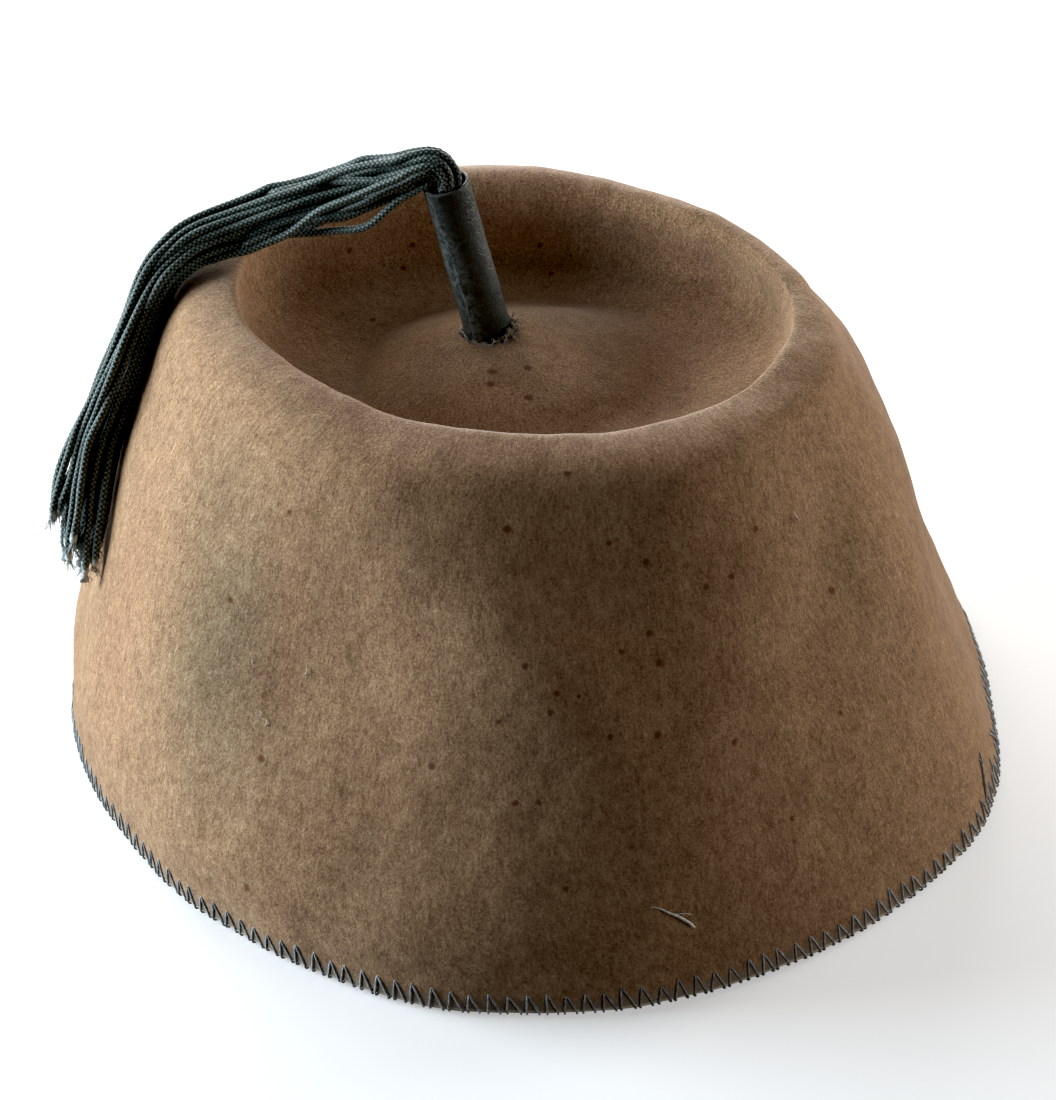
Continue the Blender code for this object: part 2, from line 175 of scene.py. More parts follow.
# ---- geometry helpers --------------------------------------------------------------
def spline(rows, at):
    """Catmull-Rom through the rows, at the given row positions."""
    rows = np.asarray(rows, float)
    last = len(rows) - 2
    ends = np.vstack([2 * rows[0] - rows[1], rows, 2 * rows[-1] - rows[-2]])
    at = np.asarray(at, float)
    i = np.clip(np.floor(at).astype(int), 0, last)
    f = (at - i)[:, None]
    a, b, c, d = ends[i], ends[i + 1], ends[i + 2], ends[i + 3]
    return 0.5 * (
        2 * b + (c - a) * f + (2 * a - 5 * b + 4 * c - d) * f**2 + (3 * b - a - 3 * c + d) * f**3
    )


def soft_step(low, high, value):
    t = np.clip((np.asarray(value, float) - low) / (high - low), 0, 1)
    return t * t * (3 - 2 * t)


def unit(vector):
    vector = np.asarray(vector, float)
    return vector / np.linalg.norm(vector, axis=-1, keepdims=True)


def fold_weights(angles, at, rows):
    """How strongly each row (name, angle, position, spread_angle, spread_position, slant, ...) acts at each position and angle."""
    for row in rows:
        along = at - row[2]
        away = (np.degrees(angles) - row[1] - row[5] * along + 180) % 360 - 180
        yield row, np.exp(-0.5 * (away / row[3]) ** 2 - 0.5 * (along / row[4]) ** 2)


def felt_at(angles, at):
    """Points of the felt's plain outer surface, for arrays of angles (radians) and positions of one shape."""
    angles, at = np.broadcast_arrays(np.asarray(angles, float), np.asarray(at, float))
    values = spline([row[1:] for row in SECTIONS], at.ravel()).reshape(*at.shape, 9)
    height, half_x, half_y, turn, shift_x, shift_y, point, tilt_x, tilt_y = np.moveaxis(values, -1, 0)
    turned = angles - np.radians(turn)
    radius = half_x * half_y / np.sqrt(
        (half_y * np.cos(turned)) ** 2 + (half_x * np.sin(turned)) ** 2
    )
    radius = radius * (1 + point * np.cos(4 * turned))
    for row, weight in fold_weights(angles, at, FOLDS):
        radius = radius + row[6] * weight
    height = height + tilt_x * np.cos(angles) + tilt_y * np.sin(angles)
    return np.stack(
        [shift_x + radius * np.cos(angles), shift_y + radius * np.sin(angles), height], -1
    )


TOP = len(SECTIONS) - 1


def felt_frame(angles, at):
    """The plain surface's points, unit normals, unit directions round it and unit directions up it."""
    step_a, step_u = 0.004, 0.01
    low, high = np.clip(at - step_u, 0, TOP), np.clip(at + step_u, 0, TOP)
    up = unit(felt_at(angles, high) - felt_at(angles, low))
    around = unit(felt_at(angles + step_a, at) - felt_at(angles - step_a, at))
    return felt_at(angles, at), unit(np.cross(around, up)), around, up


def waves(points, seed, count, shortest, longest, size):
    """A smooth undulation over space: sines with seeded directions and phases, larger where longer."""
    rng = np.random.default_rng(seed)
    total = np.zeros(points.shape[:-1])
    lengths = np.exp(rng.uniform(math.log(shortest), math.log(longest), count))
    directions = unit(rng.normal(size=(count, 3)))
    phases = rng.uniform(0, 2 * math.pi, count)
    for length, direction, phase in zip(lengths, directions, phases):
        total += (length / longest) ** 0.8 * np.sin(
            points @ direction * (2 * math.pi / length) + phase
        )
    return total * size / math.sqrt(count / 2)


def felt_relief(points):
    """How far the real felt stands off the plain surface: slow waves, then small lumps."""
    return waves(points, 11, 36, 22.0, 60.0, 0.34) + waves(points, 12, 60, 5.0, 18.0, 0.13)


def felt_skin(angles, at, off=0.0):
    """Points on the felt's real outer surface, moved out by off, with their normals."""
    points, normals, around, up = felt_frame(angles, at)
    return points + normals * (felt_relief(points) + off)[..., None], normals, around, up


def arc_table():
    """Positions up the felt against the mean length along it from the rim."""
    at = np.linspace(0, TOP, 1401)
    angles = np.radians(np.arange(0, 360, 10.0))
    points = felt_at(angles[None, :], at[:, None])
    steps = np.linalg.norm(np.diff(points, axis=0), axis=-1).mean(1)
    return at, np.concatenate([[0], np.cumsum(steps)])


ARC_AT, ARC_LENGTH = arc_table()


def at_length(length):
    """The position that lies this far up the felt from the rim."""
    return np.interp(length, ARC_LENGTH, ARC_AT)


def frame_shift():
    """From the tables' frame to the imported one, read from the felt node's box."""
    angles = np.linspace(0, 2 * math.pi, 64, endpoint=False)
    rows = np.concatenate([[EDGE_ROUND / SECTIONS[1][1]], np.arange(1, 2 * TOP) / 2])
    points = felt_at(angles[None, :], rows[:, None]).reshape(-1, 3)
    low, high = (np.array(corner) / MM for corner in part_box("felt_body"))
    shift = ((low - points.min(0)) + (high - points.max(0))) / 2
    return shift * [1, 1, 0]


SHIFT = frame_shift()


# ---- mesh helpers --------------------------------------------------------------------
def mesh_piece(name, points, faces, paint, slot=None, uv=None, smooth=True, **attributes):
    """A piece from points in mm, faces of one size each (arrays of rows), per-corner UVs and per-point values."""
    faces = [np.asarray(group, np.int32) for group in (faces if isinstance(faces, list) else [faces])]
    corners = np.concatenate([group.ravel() for group in faces])
    sizes = np.concatenate([np.full(len(group), group.shape[1], np.int32) for group in faces])
    starts = np.concatenate([[0], np.cumsum(sizes)[:-1]]).astype(np.int32)
    mesh = bpy.data.meshes.new(name)
    mesh.vertices.add(len(points))
    mesh.vertices.foreach_set("co", ((points + SHIFT) * MM).astype(np.float32).ravel())
    mesh.loops.add(len(corners))
    mesh.loops.foreach_set("vertex_index", corners)
    mesh.polygons.add(len(sizes))
    mesh.polygons.foreach_set("loop_start", starts)
    mesh.polygons.foreach_set("loop_total", sizes)
    mesh.update(calc_edges=True)
    mesh.polygons.foreach_set("use_smooth", np.full(len(sizes), smooth))
    if uv is not None:
        layer = mesh.uv_layers.new(name="UVMap")
        layer.data.foreach_set("uv", np.asarray(uv, np.float32).ravel())
    for key, values in attributes.items():
        values = np.asarray(values, np.float32)
        kind = "FLOAT" if values.ndim == 1 else "FLOAT_VECTOR"
        layer = mesh.attributes.new(key, kind, "POINT")
        layer.data.foreach_set("value" if kind == "FLOAT" else "vector", values.ravel())
    mesh.validate()
    mesh.update()
    mesh.materials.append(paint)
    made = bpy.data.objects.new(name, mesh)
    bpy.context.scene.collection.objects.link(made)
    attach(made, "root")
    return made


def grid_faces(rows, columns, closed_rows=False, start=0):
    """Quads over a grid of points that is closed round its columns, with corner UVs in cells."""
    r = np.arange(rows if closed_rows else rows - 1)[:, None]
    c = np.arange(columns)[None, :]
    r2, c2 = (r + 1) % rows, (c + 1) % columns
    quads = np.stack(
        [r * columns + c, r * columns + c2, r2 * columns + c2, r2 * columns + c], -1
    ).reshape(-1, 4)
    cells = np.stack(
        [
            np.stack(np.broadcast_arrays(c + 0.0, r + 0.0), -1),
            np.stack(np.broadcast_arrays(c + 1.0, r + 0.0), -1),
            np.stack(np.broadcast_arrays(c + 1.0, r + 1.0), -1),
            np.stack(np.broadcast_arrays(c + 0.0, r + 1.0), -1),
        ],
        -2,
    ).reshape(-1, 2)
    return quads + start, cells


def sweep(paths, radii, sides, reference):
    """Tubes along paths (K, M, 3), with radii (K, M) or (K, M, sides). Gives points, faces as [quads, end caps] and corner UVs: turns round the tube, and mm along it."""
    paths = np.asarray(paths, float)
    count, length = paths.shape[:2]
    radii = np.broadcast_to(radii if np.ndim(radii) == 3 else np.asarray(radii)[..., None], (count, length, sides))
    along = unit(np.gradient(paths, axis=1))
    reference = np.broadcast_to(reference, paths.shape)
    side = unit(np.cross(along, reference))
    other = np.cross(along, side)
    turn = np.linspace(0, 2 * math.pi, sides, endpoint=False)
    points = paths[:, :, None, :] + radii[..., None] * (
        np.cos(turn)[None, None, :, None] * side[:, :, None, :]
        + np.sin(turn)[None, None, :, None] * other[:, :, None, :]
    )
    quads, cells = grid_faces(length, sides)
    steps = np.linalg.norm(np.diff(paths, axis=1), axis=-1)
    run = np.concatenate([np.zeros((count, 1)), np.cumsum(steps, axis=1)], axis=1)
    offsets = np.arange(count) * length * sides
    faces = (quads[None] + offsets[:, None, None]).reshape(-1, 4)
    rows = cells[:, 1].astype(int)
    uv = np.stack(
        [
            np.broadcast_to(cells[:, 0] / sides, (count, len(cells))),
            run[:, rows],
        ],
        -1,
    ).reshape(-1, 2)
    first = np.arange(sides)[::-1]
    last = np.arange(sides) + (length - 1) * sides
    caps = np.stack([first, last])
    caps = (caps[None] + offsets[:, None, None]).reshape(-1, sides)
    cap_uv = np.zeros((caps.size, 2))
    cap_uv[:, 1] = np.repeat(run[:, [0, -1]].ravel(), sides)
    cap_uv[:, 0] = np.tile(np.arange(sides) / sides, len(caps))
    return points.reshape(-1, 3), [faces, caps], np.concatenate([uv, cap_uv])


def resample(path, step):
    """The same polyline with points every step."""
    run = np.concatenate([[0], np.cumsum(np.linalg.norm(np.diff(path, axis=0), axis=1))])
    count = max(int(round(run[-1] / step)), 3) + 1
    at = np.linspace(0, run[-1], count)
    return np.stack([np.interp(at, run, path[:, i]) for i in range(3)], -1)


# ---- material helpers ------------------------------------------------------------------
class Paint:
    """A node material, with short ways to add its nodes."""

    def __init__(self, name, **shader):
        self.material = bpy.data.materials.new(name)
        self.material.use_nodes = True
        self.nodes = self.material.node_tree.nodes
        self.links = self.material.node_tree.links
        self.shader = self.nodes["Principled BSDF"]
        for key, value in shader.items():
            self.shader.inputs[key.replace("_", " ")].default_value = value

    def node(self, kind, inputs=None, **settings):
        made = self.nodes.new("ShaderNode" + kind)
        for key, value in settings.items():
            setattr(made, key, value)
        for key, value in (inputs or {}).items():
            self.put(made.inputs[key], value)
        return made

    def put(self, socket, value):
        if isinstance(value, bpy.types.NodeSocket):
            self.links.new(value, socket)
        else:
            socket.default_value = value

    def math(self, operation, a, b=0.0, clamp=False):
        made = self.node("Math", operation=operation, use_clamp=clamp)
        self.put(made.inputs[0], a)
        self.put(made.inputs[1], b)
        return made.outputs[0]

    def position(self, scale=1.0):
        """Where the point is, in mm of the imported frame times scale."""
        coordinates = self.node("TexCoord").outputs["Object"]
        made = self.node("VectorMath", operation="SCALE")
        self.put(made.inputs[0], coordinates)
        made.inputs["Scale"].default_value = scale / MM
        return made.outputs[0]

    def attribute(self, name, output="Fac"):
        made = self.node("Attribute", attribute_name=name)
        return made.outputs[output]

    def noise(self, vector, scale, detail=2.0, roughness=0.5, distortion=0.0):
        made = self.node(
            "TexNoise",
            {"Vector": vector, "Scale": scale, "Detail": detail, "Roughness": roughness, "Distortion": distortion},
            noise_dimensions="3D",
        )
        return made.outputs[0]

    def shifted(self, vector, offset):
        made = self.node("VectorMath", operation="ADD")
        self.put(made.inputs[0], vector)
        made.inputs[1].default_value = offset
        return made.outputs[0]

    def remap(self, value, low, high, to_low=0.0, to_high=1.0, smooth=False):
        made = self.node(
            "MapRange", interpolation_type="SMOOTHSTEP" if smooth else "LINEAR", clamp=True
        )
        for key, number in (
            ("Value", value), ("From Min", low), ("From Max", high), ("To Min", to_low), ("To Max", to_high)
        ):
            self.put(made.inputs[key], number)
        return made.outputs[0]

    def mix(self, amount, a, b, blend="MIX"):
        """Colour a turned towards colour b by amount."""
        made = self.node("Mix", data_type="RGBA", blend_type=blend, clamp_factor=True)
        self.put(made.inputs[0], amount)
        self.put(made.inputs[6], a)
        self.put(made.inputs[7], b)
        return made.outputs[2]

    def ramp(self, value, stops):
        """Colours (position, (r, g, b)) by value."""
        made = self.node("ValToRGB", {"Fac": value})
        elements = made.color_ramp.elements
        while len(elements) < len(stops):
            elements.new(0.5)
        for element, (position, colour) in zip(elements, stops):
            element.position = position
            element.color = (*colour, 1.0)
        return made.outputs[0]

    def bump(self, height, strength, distance):
        made = self.node("Bump", {"Height": height, "Strength": strength, "Distance": distance * MM})
        self.links.new(made.outputs[0], self.shader.inputs["Normal"])
        return made

    def colour(self, value):
        self.put(self.shader.inputs["Base Color"], value)


def flat(r, g, b):
    return (r, g, b, 1.0)


# ---- felt -------------------------------------------------------------------------------
# Soft stains. name, angle, position, spread_angle, spread_position, slant, green, pink
STAINS = (
    ("green_patch", -131.0, 3.0, 5.5, 0.75, 0.0, 1.0, 0.0),
    ("green_low", -124.0, 1.9, 6.0, 0.45, 0.0, 0.5, 0.0),
    ("green_high", -139.0, 4.3, 6.0, 0.50, 0.0, 0.5, 0.0),
    ("green_right", -38.0, 3.6, 5.0, 0.80, 0.0, 0.3, 0.0),
    ("pink_front", -121.5, 3.4, 3.5, 0.80, 0.0, 0.0, 0.6),
    ("pink_left", -153.0, 2.2, 7.0, 0.90, 0.0, 0.0, 0.5),
    ("pink_dish", 20.0, 10.2, 30.0, 0.80, 0.0, 0.0, 0.5),
    ("green_back", 120.0, 3.6, 10.0, 0.80, 0.0, 0.5, 0.0),
)

# Rusty marks that catch the eye. name, angle, position, radius
RUST_SPOTS = (
    ("left_high", -124.0, 4.46, 0.62),
    ("left_middle", -131.0, 3.30, 0.64),
    ("left_low", -121.0, 2.02, 0.80),
    ("left_edge", -120.5, 0.80, 0.67),
    ("hollow_low", -99.0, 2.40, 0.72),
    ("hollow_high", -89.0, 4.78, 0.80),
    ("keel_left", -87.5, 3.50, 0.55),
    ("keel_left_low", -91.0, 2.92, 0.50),
    ("keel", -84.0, 3.24, 0.65),
    ("keel_twin", -81.5, 3.20, 0.50),
    ("keel_low", -85.0, 3.06, 0.65),
    ("keel_foot", -87.0, 2.22, 0.58),
    ("keel_foot_twin", -89.5, 2.20, 0.57),
    ("keel_edge", -85.0, 1.46, 0.55),
    ("front_high", -80.5, 5.96, 0.69),
    ("front_upper", -74.5, 4.58, 0.50),
    ("front_upper_twin", -70.0, 4.34, 0.65),
    ("front", -75.5, 3.52, 0.55),
    ("front_twin", -71.5, 3.64, 0.59),
    ("front_third", -71.0, 3.36, 0.71),
    ("front_low", -73.0, 2.74, 0.74),
    ("front_low_twin", -78.5, 2.80, 0.50),
    ("right_front_high", -62.5, 3.96, 0.60),
    ("right_front", -58.5, 3.98, 0.69),
    ("right_front_low", -64.0, 2.48, 0.69),
    ("right_front_edge", -59.0, 1.58, 0.57),
    ("right_high", -52.5, 4.36, 0.56),
    ("right", -42.0, 3.28, 0.79),
    ("right_low", -48.0, 2.24, 0.54),
    ("dish_back_left", 133.0, 8.60, 0.60),
    ("dish_back", 117.5, 8.78, 0.70),
    ("dish_back_low", 122.0, 9.20, 0.60),
    ("dish_back_right", 86.0, 8.92, 0.60),
    ("dish_back_right_low", 83.0, 9.52, 0.60),
    ("dish_left", 144.5, 9.80, 0.60),
    ("mound_left", -94.5, 12.92, 0.85),
    ("mound_right", -61.5, 12.94, 0.80),
    ("mound_low", -77.5, 12.22, 0.90),
    ("mound_low_left", -99.0, 12.58, 0.80),
)


def rust_marks(paint, here, rows):
    """A mask that is 1 in the middle of each row's mark."""
    places, _, _, _ = felt_skin(np.radians([row[1] for row in rows]), np.array([row[2] for row in rows]))
    total = 0.0
    for place, (_, _, _, radius) in zip(places + SHIFT, rows):
        away = paint.node("VectorMath", operation="DISTANCE")
        paint.put(away.inputs[0], here)
        away.inputs[1].default_value = place
        mask = paint.remap(away.outputs["Value"], radius * 0.45, radius * 1.50, 1.0, 0.0, smooth=True)
        total = paint.math("MAXIMUM", mask, total)
    return total


def felt_paint():
    paint = Paint("brown_felt_nap", Roughness=0.9, IOR=1.4, Specular_IOR_Level=0.12)
    paint.shader.inputs["Sheen Weight"].default_value = 0.23
    paint.shader.inputs["Sheen Roughness"].default_value = 0.45
    paint.shader.inputs["Sheen Tint"].default_value = flat(1.0, 0.94, 0.86)
    here = paint.position()
    flow = paint.attribute("flow", "Vector")
    level = paint.attribute("level")
    fine = paint.noise(here, 2.6, 2.0, 0.7)
    streak = paint.noise(flow, 1.9, 2.0, 0.6)
    tuft = paint.noise(paint.shifted(flow, (13.0, 3.0, 40.0)), 0.95, 2.0, 0.55, 0.2)
    clump = paint.noise(paint.shifted(here, (31.0, 7.0, 12.0)), 0.40, 2.0, 0.55)
    cloud = paint.noise(paint.shifted(here, (5.0, 71.0, 2.0)), 0.085, 2.0, 0.5)
    on_wall = paint.remap(level, 5.6, 7.2, 1.0, 0.0, smooth=True)
    nap = paint.node("Mix", {0: paint.math("MULTIPLY", on_wall, 0.6), 2: fine, 3: streak}, data_type="FLOAT").outputs[0]
    grain = paint.math(
        "ADD",
        paint.math("MULTIPLY", fine, 0.35),
        paint.math("ADD", paint.math("MULTIPLY", nap, 0.40), paint.math("MULTIPLY", tuft, 0.25)),
    )
    tone = paint.math(
        "ADD",
        paint.math("MULTIPLY", grain, 0.68),
        paint.math(
            "ADD", paint.math("MULTIPLY", clump, 0.10), paint.math("ADD", paint.math("MULTIPLY", cloud, 0.06), 0.08)
        ),
    )
    colour = paint.ramp(
        tone,
        (
            (0.36, (0.118, 0.056, 0.0265)),
            (0.44, (0.215, 0.114, 0.0565)),
            (0.50, (0.322, 0.184, 0.096)),
            (0.56, (0.425, 0.260, 0.144)),
            (0.64, (0.610, 0.413, 0.255)),
        ),
    )
    colour = paint.mix(
        paint.math("MULTIPLY", paint.attribute("green"), 0.48), colour, flat(0.78, 1.04, 1.12), "MULTIPLY"
    )
    colour = paint.mix(
        paint.math("MULTIPLY", paint.attribute("pink"), 0.6), colour, flat(1.12, 0.93, 0.95), "MULTIPLY"
    )
    # greyer near the cut edge, and cream on it
    high = paint.math("ADD", paint.attribute("height"), paint.math("MULTIPLY", paint.math("SUBTRACT", fine, 0.5), 0.5))
    edge = paint.remap(high, 1.6, 4.2, 1.0, 0.0, smooth=True)
    colour = paint.mix(paint.math("MULTIPLY", edge, 0.6), colour, flat(0.25, 0.22, 0.18))
    cream = paint.remap(high, 1.05, 1.50, 1.0, 0.0, smooth=True)
    colour = paint.mix(paint.math("MULTIPLY", cream, 0.9), colour, flat(0.80, 0.66, 0.50))
    # rusty marks, then specks of many sizes
    rust = flat(0.135, 0.043, 0.020)
    jitter = paint.node("VectorMath", operation="MULTIPLY_ADD")
    wander = paint.node("TexNoise", {"Vector": here, "Scale": 1.1, "Detail": 2.0}, noise_dimensions="3D")
    paint.put(jitter.inputs[0], wander.outputs["Color"])
    jitter.inputs[1].default_value = (0.9, 0.9, 0.9)
    paint.put(jitter.inputs[2], paint.shifted(here, (-0.45, -0.45, -0.45)))
    colour = paint.mix(
        paint.math("MULTIPLY", rust_marks(paint, jitter.outputs[0], RUST_SPOTS), 0.92), colour, rust
    )
    for offset, scale, fewest, most, depth in (
        ((3.0, 8.0, 1.0), 0.30, 0.35, 0.17, 0.55),
        ((53.0, 18.0, 41.0), 0.13, 0.60, 0.085, 0.75),
    ):
        cells = paint.node(
            "TexVoronoi", {"Vector": paint.shifted(here, offset), "Scale": scale}, voronoi_dimensions="3D"
        )
        pick = paint.node("SeparateColor", {"Color": cells.outputs["Color"]}).outputs[0]
        size = paint.remap(pick, fewest, 1.0, 0.0, most)
        ragged = paint.math(
            "ADD", cells.outputs["Distance"], paint.math("MULTIPLY", paint.math("SUBTRACT", fine, 0.5), 0.10)
        )
        mask = paint.remap(paint.math("SUBTRACT", size, ragged), 0.0, 0.08, 0.0, depth, smooth=True)
        colour = paint.mix(mask, colour, rust)
    # pale flecks
    cells = paint.node(
        "TexVoronoi", {"Vector": paint.shifted(flow, (9.0, 4.0, 77.0)), "Scale": 0.35}, voronoi_dimensions="3D"
    )
    pick = paint.node("SeparateColor", {"Color": cells.outputs["Color"]}).outputs[1]
    mask = paint.remap(
        paint.math("SUBTRACT", paint.remap(pick, 0.8, 1.0, 0.0, 0.075), cells.outputs["Distance"]),
        0.0, 0.03, 0.0, 0.5, smooth=True,
    )
    colour = paint.mix(mask, colour, flat(0.62, 0.53, 0.42))
    paint.colour(colour)
    paint.bump(grain, 0.6, 0.24)
    return paint.material


def felt_piece():
    angles = np.linspace(0, 2 * math.pi, COLUMNS, endpoint=False)
    total = ARC_LENGTH[-1]
    outside = at_length(np.arange(1.6, total - 0.6, ROW_STEP))
    outer, normals, _, _ = felt_skin(angles[None, :], outside[:, None])
    inside_at = at_length(np.arange(2.4, total - 1.2, ROW_STEP * 2))[::-1]
    inner, inner_normals, _, _ = felt_skin(angles[None, :], inside_at[:, None])
    inner = inner - inner_normals * FELT_THICKNESS
    rows, levels, lengths = [], [], []

    def put(ring, level, length):
        rows.append(ring)
        levels.append(np.full(COLUMNS, level))
        lengths.append(length)

    def rim(height, inset, from_inside=False):
        at = np.full(COLUMNS, at_length(height * 1.02))
        points, normal, _, _ = felt_frame(angles, at)
        points = points + normal * felt_relief(points)[:, None]
        level = unit(normal * [1, 1, 0])
        slope = np.linalg.norm(normal[:, :2], axis=1, keepdims=True)
        move = (FELT_THICKNESS / slope - inset) if from_inside else inset
        ring = points - level * move
        ring[:, 2] = height + 0.12 * waves(points * [1, 1, 0], 31, 30, 4.0, 30.0, 1.0)
        return ring

    r, lift = EDGE_CORNER, EDGE_LIFT
    corner = [(lift + r * (1 - math.sin(a)), r * (1 - math.cos(a))) for a in np.radians([90, 60, 30, 10])]
    for height, inset in corner:
        put(rim(height, inset), 0.0, height)
    for i in range(len(outside)):
        put(outer[i], outside[i], ARC_LENGTH[0] + np.interp(outside[i], ARC_AT, ARC_LENGTH))
    near_hole = felt_at(angles, np.full(COLUMNS, float(TOP)))
    axis = unit(np.array(TUBE_MOUTH) - TUBE_FOOT)
    for drop, radius, length in ((0.15, 0.55, total), (FELT_THICKNESS - 0.2, 0.45, total + FELT_THICKNESS)):
        centre = np.array(TUBE_FOOT) - axis * drop
        heights = near_hole[:, 2] - drop
        lean = math.atan2(axis[1], axis[0])
        long_side = (TUBE_RADIUS + radius) / axis[2]
        away = angles - lean
        reach = long_side * (TUBE_RADIUS + radius) / np.sqrt(
            ((TUBE_RADIUS + radius) * np.cos(away)) ** 2 + (long_side * np.sin(away)) ** 2
        )
        put(
            np.column_stack(
                [centre[0] + reach * np.cos(angles), centre[1] + reach * np.sin(angles), heights]
            ),
            TOP,
            length,
        )
    for i in range(len(inside_at)):
        put(inner[i], inside_at[i], 2 * total - np.interp(inside_at[i], ARC_AT, ARC_LENGTH) + 5)
    for height, inset in reversed(corner):
        put(rim(height, inset, from_inside=True), 0.0, 2 * total + 8 - height)
    points = np.stack(rows)
    levels = np.stack(levels)
    lengths = np.array(lengths)
    faces, cells = grid_faces(len(rows), COLUMNS, closed_rows=True)
    run = np.append(lengths, lengths[-1] + 2.0)
    uv = np.column_stack([cells[:, 0] / COLUMNS, run[cells[:, 1].astype(int)] / 100.0])
    across = np.tile(angles, len(rows))
    flow = np.column_stack(
        [
            92.0 * np.cos(across),
            92.0 * np.sin(across),
            np.repeat(lengths, COLUMNS) / 1.9,
        ]
    )
    flat_points = points.reshape(-1, 3)
    green = np.zeros(len(flat_points))
    pink = np.zeros(len(flat_points))
    for row, weight in fold_weights(across, levels.ravel(), STAINS):
        green += row[6] * weight
        pink += row[7] * weight
    piece = mesh_piece(
        "felt_nap",
        flat_points,
        faces,
        felt_paint(),
        slot="felt",
        uv=uv,
        flow=flow,
        level=levels.ravel(),
        height=flat_points[:, 2],
        green=np.clip(green, 0, 1),
        pink=np.clip(pink, 0, 1),
    )
    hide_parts("felt_body")
    return piece


# ---- edge stitching -----------------------------------------------------------------------
def thread_paint():
    paint = Paint("slate_thread", Roughness=0.55, Specular_IOR_Level=0.5)
    paint.shader.inputs["Sheen Weight"].default_value = 0.25
    uv = paint.node("UVMap").outputs[0]
    parts = paint.node("SeparateXYZ", {0: uv})
    twist = paint.math(
        "SINE",
        paint.math(
            "MULTIPLY",
            paint.math("ADD", paint.math("MULTIPLY", parts.outputs[1], 2.2), parts.outputs[0]),
            2 * math.pi * 2,
        ),
    )
    wear = paint.noise(paint.position(), 0.9, 2.0)
    tone = paint.math("ADD", paint.math("MULTIPLY", twist, 0.16), wear)
    paint.colour(
        paint.ramp(
            tone,
            (
                (0.30, (0.120, 0.128, 0.135)),
                (0.50, (0.300, 0.318, 0.332)),
                (0.72, (0.520, 0.545, 0.560)),
            ),
        )
    )
    paint.bump(twist, 0.5, 0.06)
    return paint.material


def rim_frames():
    """Lengths round the rim against angles, for spacing stitches."""
    angles = np.linspace(0, 2 * math.pi, 2881)
    points = felt_at(angles, np.zeros(2881))
    run = np.concatenate([[0], np.cumsum(np.linalg.norm(np.diff(points, axis=0), axis=1))])
    return angles, run


def edge_path(run, depth, off):
    """Points round the cut edge: run is the length round the rim, and depth the height on the outside, where positive, and on the inside, where negative; off is the distance from the felt."""
    angles_table, run_table = rim_frames()
    angle = np.interp(run % run_table[-1], run_table, angles_table)
    height = np.abs(depth)
    points, normal, _, up = felt_frame(angle, at_length(np.maximum(height, 0.05)))
    points = points + normal * felt_relief(points)[..., None]
    level = unit(normal * [1, 1, 0])
    slope = np.linalg.norm(normal[..., :2], axis=-1, keepdims=True)
    wall = points + normal * np.expand_dims(off, -1)
    inner = points - level * FELT_THICKNESS / slope - normal * np.expand_dims(off, -1)
    out = np.where(np.expand_dims(depth >= 0, -1), wall, inner)
    return out, level, slope


def stitch_path(starts, legs, rng):
    """One Λ stitch for each start: up the inside, under the edge, up the outside to the point, and down again."""
    count = len(starts)
    out_off, depth = 0.10, []
    base_left, apex, base_right, height, inner_height = legs
    stations = []
    r = EDGE_CORNER
    lift = EDGE_LIFT
    # (fraction along the stitch, signed height, offset, drop below the felt)
    inner_top = -inner_height
    plan = [
        (apex, inner_top, -0.15),
        (apex * 0.75 + base_left * 0.25, inner_top * 0.72, out_off),
        (base_left * 0.7 + apex * 0.3, inner_top * 0.42, out_off),
        (base_left * 0.95, -1.45, out_off),
        ("under", base_left, None),
        (base_left, 1.25, out_off),
        (base_left * 0.85 + apex * 0.15, 1.75, out_off),
        (base_left * 0.55 + apex * 0.45, height * 0.62, out_off + 0.02),
        (base_left * 0.22 + apex * 0.78, height * 0.86, out_off),
        (apex, height, -0.12),
        (base_right * 0.22 + apex * 0.78, height * 0.86, out_off),
        (base_right * 0.55 + apex * 0.45, height * 0.62, out_off + 0.02),
        (base_right * 0.85 + apex * 0.15, 1.75, out_off),
        (base_right, 1.25, out_off),
        ("under", base_right, None),
        (base_right * 0.95, -1.45, out_off),
        (base_right * 0.7 + apex * 0.3, inner_top * 0.42, out_off),
        (apex * 0.75 + base_right * 0.25, inner_top * 0.72, out_off),
        (apex, inner_top, -0.15),
    ]
    for along, high, off in plan:
        if isinstance(along, str):
            # the corner points under the edge
            outer, level, slope = edge_path(starts + high, np.full(count, 0.6), np.zeros(count))
            inward = FELT_THICKNESS / slope
            z = THREAD_RADIUS + 0.02
            for fraction, rise in ((-0.02, 0.55), (0.16, 0.12), (0.5, 0.0), (0.84, 0.12), (1.02, 0.55)):
                point = outer - level * inward * fraction
                point[:, 2] = z + rise
                stations.append((fraction, point))
            continue
        high = np.broadcast_to(high, (count,))
        point, _, _ = edge_path(starts + along, high, np.broadcast_to(off, (count,)))
        stations.append((None, point))
    return stations


